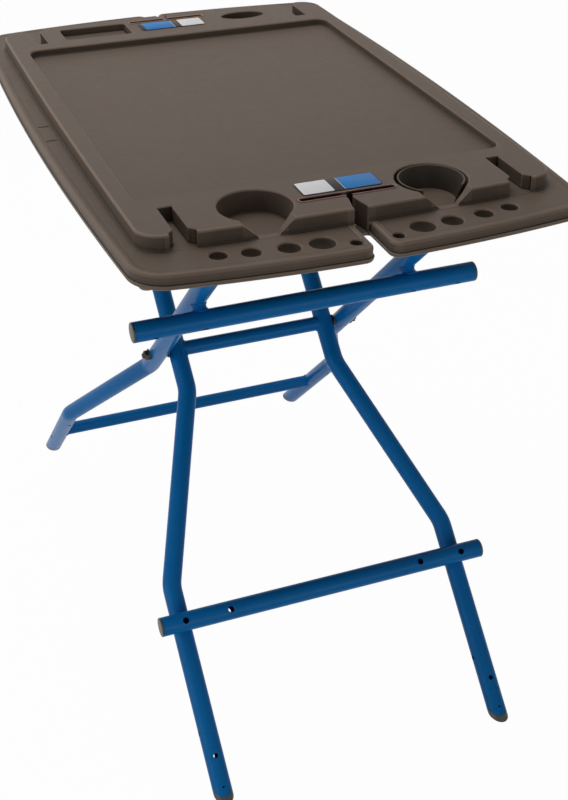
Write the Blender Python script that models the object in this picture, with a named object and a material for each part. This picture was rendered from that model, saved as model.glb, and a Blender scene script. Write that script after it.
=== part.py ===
"""Portable folding workbench: a moulded plastic top with a tray, cup wells, tool
slots and tool holes, on two crossed frames of bent steel tube.

Metres, +Z up. +X is the right-hand side of the bench, -Y its near end.
"""
import math

import bmesh
import bpy
from mathutils import Matrix, Vector

# Working height, and the levels of the moulded top below it
deck_height = 0.9515
flange_drop = 0.022
flange_thickness = 0.022
top_wall = 0.004
tray_depth = 0.012
cup_depth = 0.032
floor_round = 0.0045
rim_round = 0.0025
cut_over = 0.0005

# Plan of the moulded top: the flange as half sizes, the deck set in from the flange
# and the tray set in from the deck, with the bow of each edge
flange_half_width = 0.349
flange_side_bow = 0.018
flange_half_length = 0.555
flange_end_bow = 0.026
flange_corner = 0.055
side_shelf = 0.038
deck_side_bow = 0.005
end_shelf = 0.081
deck_end_bow = 0.012
deck_corner = 0.036
side_land = 0.0297
end_land = 0.1276
tray_corner = 0.020
edge_round = 0.006
deck_round = 0.0035
deck_foot = 0.003

# Hollows of the ends, each measured from the edge that it lies behind
cup_x = 0.1318
cup_from_end = 0.0585
cup_radius = 0.0525
cup_draft = 0.005
mouth_half_top = 0.0356
mouth_half_floor = 0.0135
tool_slot_from_side = 0.063
tool_slot_width = 0.020
tool_slot_length = 0.096
tool_slot_flare = 0.009
tool_slot_flare_from_end = 0.024
tee_slot_from_near_end = 0.0495
tee_slot_from_far_end = 0.0315
tee_slot_half_length = 0.0735
tee_slot_width = 0.0145
tee_slot_depth = 0.028
tee_slot_corner = 0.006
channel_depth = 0.038
channel_half_width = 0.0045
channel_mouth_half_width = 0.0102
channel_throat = 0.016
channel_mouth_length = 0.006
notch_half_width = 0.0105
notch_from_deck = 0.002
notch_corner = 0.003
lobe_corner = 0.016
parts_tray_x = -0.1415
parts_tray_from_end = 0.059
parts_tray_half_width = 0.061
parts_tray_half_length = 0.031
parts_tray_depth = 0.012
parts_tray_corner = 0.007
oval_well_x = 0.144
oval_well_from_end = 0.055
oval_well_half_width = 0.0415
oval_well_half_length = 0.021
oval_well_depth = 0.016
small_rim_round = 0.0015
side_slit_from_side = 0.0235
side_slit_y = 0.031
side_slit_length = 0.016
side_slit_width = 0.003
side_slit_depth = 0.007

# Tool holes of one quarter: place from the middle, from the flange's end, and width
tool_holes = (
    (0.0305, 0.0270, 0.017),
    (0.0730, 0.0415, 0.036),
    (0.1186, 0.0440, 0.031),
    (0.1695, 0.0490, 0.027),
    (0.2127, 0.0555, 0.0245),
)
tool_hole_round = 0.0022

# Underside: blocks under the near corners, ribs and the pockets that they part
corner_block_from_side = 0.021
corner_block_from_end = 0.029
corner_block_half_width = 0.026
corner_block_half_length = 0.045
corner_block_height = 0.0195
corner_block_corner = 0.012
corner_block_round = 0.006
rib_thickness = 0.004
tray_rib_columns = 5
tray_rib_rows = 6
tray_rim_width = 0.012
skirt_wall = 0.005
shelf_wall = 0.0045
shelf_rib_thickness = 0.0035
sleeve_wall = 0.0025
shelf_rib_x = (0.052, 0.096, 0.144, 0.191)
shelf_rib_y = (0.075, 0.225, 0.375)
end_pocket_from_tray = 0.004
centre_pocket_width = 0.064
centre_pocket_length = 0.058
corner_pocket_width = 0.030
corner_pocket_length = 0.070
corner_pocket_from_side = 0.013

# Inserts of the top
liner_wall = 0.0016
liner_proud = 0.0012
ring_gap = 0.0043
ring_wall = 0.0026
ring_draft = 0.0085
ring_opening_deg = 78.0
panel_half_width = 0.0600
panel_half_length = 0.0215
panel_offset_y = 0.0335
panel_thickness = 0.0008
panel_corner = 0.004

# Frame tubes
tube_diameter = 0.03175
tube_wall = 0.0015
bar_diameter = 0.0254
lean_deg = 46.65
pivot_height = 0.512
pivot_y = -0.018
front_half_top = 0.139
front_half_foot = 0.250
frame_side_gap = 0.0027
bend_upper = 0.076
bend_lower = 0.400
bend_radius = 0.070
front_crossbar_half = 0.288
front_crossbar_height = 0.2160
crossbar_hole = 0.0105
crossbar_hole_x = (0.172, 0.250)
leg_hole = 0.008
rivet_hole = 0.0035
rivet_hole_height = 0.0075
front_leg_hole_height = 0.0420
front_leg_side_hole_height = 0.0694
rear_leg_hole_height = 0.2030
rear_leg_side_hole_height = 0.0820
top_crossbar_half = 0.2805
top_crossbar_below = 0.1625
top_crossbar_standoff = 0.005
rear_crossbar_height = 0.1193
rear_leg_drop = 0.0355
foot_plug_height = 0.008
plug_head = 0.004
plug_stem = 0.016
plug_round = 0.0015
lug_diameter = 0.0225
cope_depth = 0.006

# Hinges, sockets and fasteners
hinge_drop = 0.024
hinge_end = 0.010
pin_radius = 0.004
running_fit = 0.0001
bracket_plate = 0.003
bracket_lip = 0.002
bracket_half_length = 0.034
bracket_corner = 0.003
bracket_round = 0.013
pin_proud = 0.002
bracket_side_gap = 0.0012
socket_half_width = 0.029
socket_half_length = 0.026
socket_corner = 0.004
socket_fit = 0.0008
socket_below = 0.006
rod_radius = 0.005
washer_radius = 0.011
washer_thickness = 0.0016
nut_across = 0.017
nut_thickness = 0.008
nut_chamfer = 0.0008
rod_end = 0.0035
screw_radius = 0.0025
screw_head = 0.0045
screw_head_height = 0.0025
screw_head_round = 0.0012
screw_length = 0.008
bracket_screw_offset = 0.024
socket_screw_offset = 0.0228

# Clearance that pieces which only rest on each other keep
seat_gap = 0.0003

# Facets round a tube, round a small pin and along a bend
tube_sides = 20
bore_sides = 12
pin_sides = 16
small_sides = 12
hole_sides = 20
cup_sides = 36
oval_sides = 28
ring_steps = 30
bend_steps = 4
arc_steps = 5

# Levels and places that follow from the sizes above
flange_top = deck_height - flange_drop
underside = flange_top - flange_thickness
deck_half_width = flange_half_width - side_shelf
deck_half_length = flange_half_length - end_shelf
tray_half_width = deck_half_width - side_land
tray_half_length = deck_half_length - end_land
cup_y = deck_half_length - cup_from_end
tool_slot_x = deck_half_width - tool_slot_from_side
tee_slot_y = deck_half_length - tee_slot_from_near_end
tee_slot_far_y = deck_half_length - tee_slot_from_far_end
parts_tray_y = deck_half_length - parts_tray_from_end
oval_well_y = deck_half_length - oval_well_from_end
side_slit_x = flange_half_width - side_slit_from_side
corner_block_x = deck_half_width - corner_block_from_side
corner_block_y = deck_half_length - corner_block_from_end
ring_radius = cup_radius - ring_gap
tube_radius = tube_diameter / 2
bar_radius = bar_diameter / 2
lean = math.radians(lean_deg)
front_up = Vector((0, math.sin(lean), math.cos(lean)))
rear_up = Vector((0, -math.sin(lean), math.cos(lean)))
front_face = Vector((0, -math.cos(lean), math.sin(lean)))
rear_under = Vector((0, -math.cos(lean), -math.sin(lean)))
foot_reach = pivot_height * math.tan(lean) + tube_radius / math.cos(lean) - pivot_y
table_y = (foot_reach - flange_half_length) / 2
pivot = Vector((0, table_y + pivot_y, pivot_height))
hinge_height = underside - hinge_drop
hinge_along = (hinge_height - pivot_height) / math.cos(lean)
hinge = pivot + front_up * hinge_along
rear_half_top = front_half_top + tube_diameter + frame_side_gap
rear_half_foot = front_half_foot + tube_diameter + frame_side_gap
foot_along = pivot_height / math.cos(lean)
rear_leg_above = (underside - rear_leg_drop - pivot_height) / math.cos(lean)
overrun = 2 * tube_diameter


def clear_scene():
    for item in list(bpy.data.objects):
        bpy.data.objects.remove(item, do_unlink=True)


def make_material(name, color, roughness, metallic):
    material = bpy.data.materials.new(name)
    material.use_nodes = True
    shader = material.node_tree.nodes["Principled BSDF"]
    shader.inputs["Base Color"].default_value = (*color, 1)
    shader.inputs["Roughness"].default_value = roughness
    shader.inputs["Metallic"].default_value = metallic
    return material


def make_object(name, builder, material=None, smooth=False):
    """Turns a bmesh into a named object with outward faces."""
    bmesh.ops.recalc_face_normals(builder, faces=builder.faces)
    mesh = bpy.data.meshes.new(name)
    builder.to_mesh(mesh)
    builder.free()
    if smooth:
        mesh.shade_smooth()
        mesh.set_sharp_from_angle(angle=math.radians(35))
    if material:
        mesh.materials.append(material)
    item = bpy.data.objects.new(name, mesh)
    bpy.context.scene.collection.objects.link(item)
    return item


def combine(item, other, operation):
    """Adds an exact Boolean to item; the other object becomes a hidden guide."""
    step = item.modifiers.new(operation.lower() + "_" + other.name, "BOOLEAN")
    step.operation = operation
    step.solver = "EXACT"
    step.object = other
    other.hide_render = True
    other.display_type = "WIRE"


def cut(item, *cutters):
    for cutter in cutters:
        combine(item, cutter, "DIFFERENCE")


def loft(name, rings, material=None, smooth=False):
    """Closed solid through rings of equal point counts, capped at both ends."""
    builder = bmesh.new()
    rows = [[builder.verts.new(point) for point in ring] for ring in rings]
    for low, high in zip(rows, rows[1:]):
        for index in range(len(low)):
            after = (index + 1) % len(low)
            builder.faces.new((low[index], low[after], high[after], high[index]))
    builder.faces.new(list(reversed(rows[0])))
    builder.faces.new(rows[-1])
    return make_object(name, builder, material, smooth)


def round_corners(points, radii, steps=arc_steps):
    """Replaces each corner of a plan outline by an arc of its radius."""
    outline = []
    count = len(points)
    for index, corner in enumerate(points):
        corner = Vector(corner)
        before = (Vector(points[index - 1]) - corner).normalized()
        after = (Vector(points[(index + 1) % count]) - corner).normalized()
        radius = radii[index]
        if radius <= 0:
            outline.append(corner)
            continue
        half = before.angle(after) / 2
        reach = radius / math.tan(half)
        centre = corner + (before + after).normalized() * (radius / math.sin(half))
        start = corner + before * reach - centre
        turn = start.angle_signed(corner + after * reach - centre)
        for step in range(steps + 1):
            outline.append(centre + Matrix.Rotation(-turn * step / steps, 2) @ start)
    return outline


def level(outline, height):
    return [(point[0], point[1] + table_y, height) for point in outline]


def prism(name, outline, low, high, material=None):
    return loft(name, [level(outline, low), level(outline, high)], material)


def rectangle(x, y, half_x, half_y, corner=0.0):
    points = [
        (x - half_x, y - half_y),
        (x + half_x, y - half_y),
        (x + half_x, y + half_y),
        (x - half_x, y + half_y),
    ]
    return round_corners(points, [corner] * 4)


def ellipse(x, y, half_x, half_y, sides):
    angles = [2 * math.pi * step / sides for step in range(sides)]
    return [(x + half_x * math.cos(a), y + half_y * math.sin(a)) for a in angles]


def arc(centre, radius, start, stop, steps):
    """Points round a centre, from one angle to another."""
    points = []
    for step in range(steps + 1):
        angle = start + (stop - start) * step / steps
        points.append((centre[0] + radius * math.cos(angle),
                       centre[1] + radius * math.sin(angle)))
    return points


def bowed_rectangle(half_width, side_bow, half_length, end_bow, corner, inset, notched):
    """Four wide arcs with tangent corner arcs, and at both ends a notch if asked for.

    One quarter is made of arcs round fixed centres, so that an inset only shortens
    their radii and leaves the outline parallel. It is mirrored to the other three.
    """
    chord_x = half_width - side_bow
    chord_y = half_length - end_bow
    side_radius = (chord_y ** 2 + side_bow ** 2) / (2 * side_bow)
    end_radius = (chord_x ** 2 + end_bow ** 2) / (2 * end_bow)
    side_centre = Vector((half_width - side_radius, 0))
    end_centre = Vector((0, half_length - end_radius))
    across = end_centre - side_centre
    gap = across.length
    reach = side_radius - corner
    along = (reach ** 2 - (end_radius - corner) ** 2 + gap ** 2) / (2 * gap)
    lift = math.sqrt(reach ** 2 - along ** 2)
    unit = across / gap
    corner_centre = side_centre + unit * along + Vector((-unit.y, unit.x)) * lift
    from_side = corner_centre - side_centre
    from_end = corner_centre - end_centre
    first = math.atan2(from_side.y, from_side.x)
    second = math.atan2(from_end.y, from_end.x)
    quarter = arc(side_centre, side_radius - inset, 0, first, 4)[:-1]
    quarter += arc(corner_centre, corner - inset, first, second, arc_steps)[:-1]
    if notched:
        lobe_x = notch_half_width + lobe_corner
        lobe_y = end_centre.y + math.sqrt((end_radius - lobe_corner) ** 2 - lobe_x ** 2)
        third = math.atan2(lobe_y - end_centre.y, lobe_x)
        inner = deck_half_length + notch_from_deck + notch_corner
        quarter += arc(end_centre, end_radius - inset, second, third, 4)[:-1]
        quarter += arc((lobe_x, lobe_y), lobe_corner - inset, third, math.pi, arc_steps)
        quarter += arc((notch_half_width - notch_corner, inner), notch_corner + inset, 0,
                       -math.pi / 2, 2)
        half = quarter + [(-x, y) for x, y in reversed(quarter[1:])]
    else:
        quarter += arc(end_centre, end_radius - inset, second, math.pi / 2, 4)
        half = quarter + [(-x, y) for x, y in reversed(quarter[1:-1])]
    return half + [(-x, -y) for x, y in half]


def flange_outline(inset):
    return bowed_rectangle(flange_half_width, flange_side_bow, flange_half_length,
                           flange_end_bow, flange_corner, inset, True)


def deck_outline(inset):
    return bowed_rectangle(deck_half_width, deck_side_bow, deck_half_length,
                           deck_end_bow, deck_corner, inset, False)


def rod(name, start, end, radius, sides, material=None, smooth=True):
    """Round bar between two points."""
    start = Vector(start)
    end = Vector(end)
    turn = (end - start).to_track_quat("Z", "Y")
    rings = []
    for centre in (start, end):
        ring = ellipse(0, 0, radius, radius, sides)
        rings.append([centre + turn @ Vector((x, y, 0)) for x, y in ring])
    return loft(name, rings, material, smooth)


def tube(name, path, outer, wall, material):
    """Hollow tube along a path that lies in one plane with the X axis."""
    rows = []
    builder = bmesh.new()
    side = None
    for index, point in enumerate(path):
        before = path[max(index - 1, 0)]
        after = path[min(index + 1, len(path) - 1)]
        ahead = (after - before).normalized()
        if side is None:
            side = ahead.cross(Vector((1, 0, 0))).normalized()
        across = ahead.cross(side)
        row = []
        for radius, sides in ((outer, tube_sides), (outer - wall, bore_sides)):
            ring = ellipse(0, 0, radius, radius, sides)
            row.append([builder.verts.new(point + side * x + across * y)
                        for x, y in ring])
        rows.append(row)
    for low, high in zip(rows, rows[1:]):
        for shell in (0, 1):
            count = len(low[shell])
            for index in range(count):
                after = (index + 1) % count
                builder.faces.new((low[shell][index], low[shell][after],
                                   high[shell][after], high[shell][index]))
    for row in (rows[0], rows[-1]):
        edges = []
        for ring in row:
            for index, vertex in enumerate(ring):
                pair = (vertex, ring[(index + 1) % len(ring)])
                edges.append(builder.edges.get(pair))
        bmesh.ops.triangle_fill(builder, edges=edges, use_beauty=True,
                                use_dissolve=False)
    return make_object(name, builder, material, smooth=True)


def bent_path(corners, radius):
    """Centre line through corners, each rounded by an arc of the bend radius."""
    path = [corners[0]]
    for before, corner, after in zip(corners, corners[1:], corners[2:]):
        back = (before - corner).normalized()
        ahead = (after - corner).normalized()
        half = back.angle(ahead) / 2
        reach = radius / math.tan(half)
        centre = corner + (back + ahead).normalized() * (radius / math.sin(half))
        start = corner + back * reach
        axis = (start - centre).cross(corner + ahead * reach - centre).normalized()
        sweep = math.pi - 2 * half
        for step in range(bend_steps + 1):
            turn = Matrix.Rotation(sweep * step / bend_steps, 3, axis)
            path.append(centre + turn @ (start - centre))
    path.append(corners[-1])
    return path


def slab_cutter(name, low, high):
    """Block between two heights, wider than the feet, to trim tube ends level."""
    half_x = 2 * rear_half_foot
    half_y = 2 * flange_half_length
    return prism(name, rectangle(0, -table_y, half_x, half_y), low, high)


clear_scene()
plastic = make_material("moulded_plastic", (0.135, 0.115, 0.085), 0.55, 0)
dark_plastic = make_material("dark_plastic", (0.045, 0.035, 0.035), 0.5, 0)
liner_plastic = make_material("liner_plastic", (0.10, 0.025, 0.015), 0.4, 0)
panel_plastic = make_material("panel_plastic", (0.75, 0.77, 0.80), 0.4, 0)
blue_steel = make_material("blue_steel", (0.015, 0.085, 0.32), 0.35, 0.2)
black_steel = make_material("black_steel", (0.05, 0.05, 0.055), 0.4, 0.8)

# Empties on the two joint axes carry the pieces that turn about them
rear_axis = bpy.data.objects.new("rear_frame_axis", None)
rear_axis.location = pivot
bpy.context.scene.collection.objects.link(rear_axis)
top_axis = bpy.data.objects.new("worktop_axis", None)
top_axis.location = hinge
bpy.context.scene.collection.objects.link(top_axis)
bpy.context.view_layer.update()


def hang_on(axis, *items):
    for item in items:
        item.parent = axis
        item.matrix_parent_inverse = axis.matrix_world.inverted()


# Moulded top: a flange with a raised deck, hollowed from below
def build_worktop():
    """The one-piece moulding with every hollow that opens in its upper face."""
    flange_levels = ((0.7 * edge_round, underside), (0, underside + 0.5 * edge_round),
                     (0, flange_top - edge_round),
                     (0.3 * edge_round, flange_top - 0.3 * edge_round),
                     (edge_round, flange_top))
    worktop = loft("worktop", [level(flange_outline(inset), height)
                               for inset, height in flange_levels], plastic)
    deck_levels = ((-deck_foot, flange_top - shelf_wall), (-deck_foot, flange_top + cut_over),
                   (0, flange_top + cut_over + deck_foot),
                   (0.1 * deck_round, deck_height - deck_round),
                   (0.35 * deck_round, deck_height - 0.3 * deck_round),
                   (deck_round, deck_height))
    deck = loft("deck_guide", [level(deck_outline(inset), height)
                               for inset, height in deck_levels])
    combine(worktop, deck, "UNION")
    for side in (-1, 1):
        block = corner_block(side)
        combine(worktop, block, "UNION")
    cut(worktop, *tray_pocket_cutters(), *end_pocket_cutters(), shelf_cutter())
    cut(worktop, *tray_cutters())
    for end in (-1, 1):
        cut(worktop, *end_cutters(end))
    cut(worktop, *cup_cutters())
    cut(worktop, *flange_cutters())
    return worktop


def corner_block(side):
    """Rounded block moulded under each near corner."""
    x = side * corner_block_x
    rings = []
    low = underside - corner_block_height
    for share, height in ((0, underside + top_wall), (0, low + corner_block_round),
                          (0.4, low + 0.3 * corner_block_round), (1, low)):
        inset = share * corner_block_round
        rings.append(level(rectangle(x, -corner_block_y, corner_block_half_width - inset,
                                     corner_block_half_length - inset,
                                     corner_block_corner - 0.5 * inset), height))
    return loft(side_name("corner_block_guide", side), rings)


def side_name(stem, side):
    return stem + ("_left" if side < 0 else "_right")


def end_name(stem, end):
    return stem + ("_near" if end < 0 else "_far")


def pocket(name, x, y, half_x, half_y):
    """Pocket from the underside up to the wall that it leaves under the tray."""
    ceiling = deck_height - tray_depth - top_wall
    return prism(name, rectangle(x, y, half_x, half_y), underside - cut_over, ceiling)


def tray_pocket_cutters():
    """Pockets under the tray, parted by a grid of ribs."""
    cutters = []
    half_x = tray_half_width - tray_rim_width
    half_y = tray_half_length - tray_rim_width
    cell_x = (2 * half_x + rib_thickness) / tray_rib_columns
    cell_y = (2 * half_y + rib_thickness) / tray_rib_rows
    for column in range(tray_rib_columns):
        for row in range(tray_rib_rows):
            x = (column + 0.5) * cell_x - half_x - rib_thickness / 2
            y = (row + 0.5) * cell_y - half_y - rib_thickness / 2
            cutters.append(pocket("cell_guide_%d_%d" % (column, row), x, y,
                                  (cell_x - rib_thickness) / 2,
                                  (cell_y - rib_thickness) / 2))
    return cutters


def end_pocket_cutters():
    """Pockets at both ends: a pair under the panel and one in each corner."""
    cutters = []
    near_tray = tray_half_length + end_pocket_from_tray
    for end in (-1, 1):
        for side in (-1, 1):
            x = side * (centre_pocket_width + rib_thickness) / 2
            y = end * (near_tray + centre_pocket_length / 2)
            name = side_name(end_name("centre_pocket_guide", end), side)
            cutters.append(pocket(name, x, y, centre_pocket_width / 2,
                                  centre_pocket_length / 2))
            x = side * (deck_half_width - corner_pocket_from_side - corner_pocket_width / 2)
            y = end * (near_tray + corner_pocket_length / 2)
            name = side_name(end_name("corner_pocket_guide", end), side)
            cutters.append(pocket(name, x, y, corner_pocket_width / 2,
                                  corner_pocket_length / 2))
    return cutters


def shelf_cutter():
    """Hollow under the flange that leaves its skirt, the deck, ribs and hole sleeves."""
    low = underside - cut_over
    high = flange_top - shelf_wall
    hollow = prism("shelf_guide", flange_outline(skirt_wall), low, high)
    kept = {"deck_keep_guide": deck_outline(-deck_foot)}
    for side in (-1, 1):
        for index, x in enumerate(shelf_rib_x):
            outline = rectangle(side * x, 0, shelf_rib_thickness / 2, 2 * flange_half_length)
            kept[side_name("shelf_rib_x_guide_%d" % index, side)] = outline
        for index, y in enumerate(shelf_rib_y):
            outline = rectangle(0, side * y, 2 * flange_half_width, shelf_rib_thickness / 2)
            kept[end_name("shelf_rib_y_guide_%d" % index, side)] = outline
        for end in (-1, 1):
            for index, (x, from_end, width) in enumerate(tool_holes):
                y = flange_half_length - from_end
                radius = width / 2 + sleeve_wall
                name = side_name(end_name("sleeve_guide_%d" % index, end), side)
                kept[name] = ellipse(side * x, end * y, radius, radius, hole_sides)
    for name, outline in kept.items():
        cut(hollow, prism(name, outline, low - cut_over, high + cut_over))
    return hollow


def tray_cutters():
    """The tray, the small parts tray and the oval well, with rounded floors and rims."""
    floor = deck_height - tray_depth
    levels = ((floor_round, floor), (0.25 * floor_round, floor + 0.65 * floor_round),
              (0, deck_height - rim_round), (-1.2 * rim_round, deck_height + cut_over))
    rings = [level(rectangle(0, 0, tray_half_width - inset, tray_half_length - inset,
                             tray_corner - inset), height) for inset, height in levels]
    parts = [level(rectangle(parts_tray_x, parts_tray_y, parts_tray_half_width - inset,
                             parts_tray_half_length - inset, parts_tray_corner - inset), height)
             for inset, height in small_levels(parts_tray_depth)]
    oval = [level(ellipse(oval_well_x, oval_well_y, oval_well_half_width - inset,
                          oval_well_half_length - inset, oval_sides), height)
            for inset, height in small_levels(oval_well_depth)]
    return [loft("tray_guide", rings), loft("parts_tray_guide", parts),
            loft("oval_well_guide", oval)]


def small_levels(depth):
    """Profile of a small hollow's wall, leaning out a little, with a rounded rim."""
    return ((0.5 * floor_round, deck_height - depth), (0, deck_height - small_rim_round),
            (-1.2 * small_rim_round, deck_height + cut_over))


def end_cutters(end):
    """Tool slots, T-slot and channel of one end."""
    tee_y = tee_slot_y if end < 0 else tee_slot_far_y
    slot_half = tool_slot_width / 2
    wide = slot_half + tool_slot_flare
    inner = deck_half_length - tool_slot_length
    outer = deck_half_length + 2 * tool_slot_flare
    flare = deck_half_length - tool_slot_flare_from_end
    high = deck_height + cut_over
    cutters = []
    for side in (-1, 1):
        points = [(-slot_half, inner), (slot_half, inner), (slot_half, flare),
                  (wide, flare + tool_slot_flare), (wide, outer), (-wide, outer),
                  (-wide, flare + tool_slot_flare), (-slot_half, flare)]
        outline = [(side * tool_slot_x + x, end * y) for x, y in points]
        name = side_name(end_name("tool_slot_guide", end), side)
        cutters.append(prism(name, outline, flange_top + 0.4 * cut_over, high))
    tee = rectangle(0, end * tee_y, tee_slot_half_length, tee_slot_width / 2, tee_slot_corner)
    floor = deck_height - tee_slot_depth
    cutters.append(prism(end_name("tee_slot_guide", end), tee, floor, high))
    throat = tee_y + channel_throat
    mouth = deck_half_length - channel_mouth_length
    edge = deck_half_length + channel_mouth_length
    right = [(channel_half_width, tee_y), (channel_half_width, throat),
             (channel_mouth_half_width, mouth), (channel_mouth_half_width, edge)]
    channel = [(x, end * y) for x, y in right]
    channel += [(-x, y) for x, y in reversed(channel)]
    cutters.append(prism(end_name("channel_guide", end), channel,
                         deck_height - channel_depth, high))
    inner = deck_half_length + notch_from_deck
    outer = flange_half_length - lobe_corner
    notch = rectangle(0, end * (inner + outer) / 2, notch_half_width, (outer - inner) / 2,
                      notch_corner)
    cutters.append(prism(end_name("notch_guide", end), notch, underside - cut_over, high))
    return cutters


def cup_cutters():
    """Two round wells whose walls open towards the near flange."""
    cutters = []
    for side in (-1, 1):
        x = side * cup_x
        floor = deck_height - cup_depth
        levels = ((cup_draft + 0.7 * floor_round, floor), (cup_draft, floor + 0.7 * floor_round),
                  (0, deck_height - rim_round), (-rim_round, deck_height + cut_over))
        rings = [level(ellipse(x, -cup_y, cup_radius - inset, cup_radius - inset, cup_sides),
                       height)
                 for inset, height in levels]
        cutters.append(loft(side_name("cup_guide", side), rings))
        front = -deck_half_length - 2 * deck_foot
        rings = []
        for half, height in ((mouth_half_floor, flange_top + 0.4 * cut_over),
                             (mouth_half_top, deck_height + cut_over)):
            outline = [(x - half, front), (x + half, front), (x + half, -cup_y),
                       (x - half, -cup_y)]
            rings.append(level(outline, height))
        cutters.append(loft(side_name("cup_mouth_guide", side), rings))
    return cutters


def flange_cutters():
    """Rows of tool holes at both ends, and two slits in each side."""
    cutters = []
    for end in (-1, 1):
        for side in (-1, 1):
            for index, (x, from_end, width) in enumerate(tool_holes):
                y = flange_half_length - from_end
                radius = width / 2
                rings = [level(ellipse(side * x, end * y, radius - inset, radius - inset,
                                       hole_sides), height)
                         for inset, height in ((0, underside - cut_over),
                                               (0, flange_top - tool_hole_round),
                                               (-tool_hole_round, flange_top + cut_over))]
                stem = "tool_hole_guide_%d" % index
                cutters.append(loft(side_name(end_name(stem, end), side), rings))
    for side in (-1, 1):
        for end in (-1, 1):
            outline = rectangle(side * side_slit_x, end * side_slit_y,
                                side_slit_length / 2, side_slit_width / 2)
            name = side_name(end_name("side_slit_guide", end), side)
            cutters.append(prism(name, outline, flange_top - side_slit_depth,
                                 flange_top + cut_over))
    return cutters


worktop = build_worktop()
worktop_pieces = [worktop]


# Inserts of the top: T-slot liners, plain panels beside them, ring of the right cup
def build_liner(end):
    tee_y = tee_slot_y if end < 0 else tee_slot_far_y
    low = deck_height - tee_slot_depth + seat_gap
    high = deck_height + liner_proud
    half_x = tee_slot_half_length - seat_gap
    half_y = tee_slot_width / 2 - seat_gap
    liner = prism(end_name("slot_liner", end),
                  rectangle(0, end * tee_y, half_x, half_y, tee_slot_corner - seat_gap),
                  low, high, liner_plastic)
    inner = rectangle(0, end * tee_y, half_x - liner_wall, half_y - liner_wall,
                      tee_slot_corner - seat_gap - liner_wall)
    bore_top = high + cut_over
    cut(liner, prism(end_name("liner_bore_guide", end), inner, low + liner_wall, bore_top))
    gap_end = tee_y + tee_slot_width
    gap = [(-channel_half_width, end * tee_y), (channel_half_width, end * tee_y),
           (channel_half_width, end * gap_end), (-channel_half_width, end * gap_end)]
    cut(liner, prism(end_name("liner_gap_guide", end), gap, low + liner_wall, bore_top))
    return liner


def build_panel(end):
    tee_y = tee_slot_y if end < 0 else tee_slot_far_y
    y = end * (tee_y - panel_offset_y)
    low = deck_height + seat_gap
    return prism(end_name("panel", end),
                 rectangle(0, y, panel_half_width, panel_half_length, panel_corner),
                 low, low + panel_thickness, panel_plastic)


def build_cup_ring():
    """Open ring that narrows the right well; its opening faces the near end."""
    low = deck_height - cup_depth + seat_gap
    high = deck_height
    opening = math.radians(ring_opening_deg)
    start = -math.pi / 2 + opening / 2
    sweep = 2 * math.pi - opening
    centre = (cup_x, -cup_y)
    rings = []
    for radius, height in ((ring_radius - ring_draft, low), (ring_radius, high)):
        outline = arc(centre, radius, start, start + sweep, ring_steps)
        outline += arc(centre, radius - ring_wall, start + sweep, start, ring_steps)
        rings.append(level(outline, height))
    return loft("cup_ring", rings, plastic, smooth=True)


for end in (-1, 1):
    worktop_pieces.append(build_liner(end))
    worktop_pieces.append(build_panel(end))
worktop_pieces.append(build_cup_ring())


# Legs: two bent tubes a side, crossing at the pivot
def leg_corners(side, half_top, half_foot, up, above):
    """Centre line corners of a leg, from its foot to its upper end."""
    points = []
    for x, along in ((half_foot, -foot_along), (half_foot, -bend_lower),
                     (half_top, -bend_upper), (half_top, above)):
        points.append(pivot + up * along + Vector((side * x, 0, 0)))
    return points


def build_leg(name, side, half_top, half_foot, up, above):
    """Bent tube whose foot end is trimmed level, just above the foot plug."""
    corners = leg_corners(side, half_top, half_foot, up, above)
    path = bent_path([corners[0] - up * overrun] + corners[1:], bend_radius)
    leg = tube(name, path, tube_radius, tube_wall, blue_steel)
    cut(leg, slab_cutter(name + "_trim_guide", -2 * overrun, foot_plug_height + seat_gap))
    return leg


def build_foot(name, side, half_foot, up):
    """Plastic plug that closes the tube's foot and lies flat on the floor."""
    foot = pivot - up * foot_along + Vector((side * half_foot, 0, 0))
    reach = up * overrun
    plug = rod(name, foot - reach, foot + reach, tube_radius, tube_sides, dark_plastic)
    cut(plug, slab_cutter(name + "_floor_guide", -2 * overrun, 0))
    cut(plug, slab_cutter(name + "_tube_guide", foot_plug_height, 2 * overrun))
    return plug


def bore_cutter(name, height_along, up, radius, side, half):
    """Round cutter along X through a leg at a place along it."""
    centre = pivot + up * height_along + Vector((side * half, 0, 0))
    reach = Vector((tube_diameter, 0, 0))
    return rod(name, centre - reach, centre + reach, radius, pin_sides)


def drill(name, centre, direction, width, through=True):
    """Round cutter through both walls of a tube, or only the wall that it points to."""
    reach = direction * tube_diameter
    start = centre - reach if through else centre
    return rod(name, start, centre + reach, width / 2, small_sides)


def leg_drill(name, side, half, up, height, direction, width):
    """Drill at a height on the centre line of a leg's lower straight."""
    centre = pivot + up * ((height - pivot_height) / math.cos(lean))
    return drill(name, centre + Vector((side * half, 0, 0)), direction, width)


def drill_bar(bar, centre, direction, leg_x):
    """Two holes in each half of a crossbar; the one over the leg spares the wall at the leg."""
    for side in (-1, 1):
        for index, x in enumerate(crossbar_hole_x):
            name = side_name("%s_hole_guide_%d" % (bar.name, index), side)
            through = abs(x - leg_x) > tube_radius
            cut(bar, drill(name, centre + Vector((side * x, 0, 0)), direction, crossbar_hole,
                           through))


def seat_cutter(name, start, end, radius):
    """Envelope of a round tube, with the seat gap, for coping what meets it."""
    return rod(name, start, end, radius + seat_gap, tube_sides)


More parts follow.
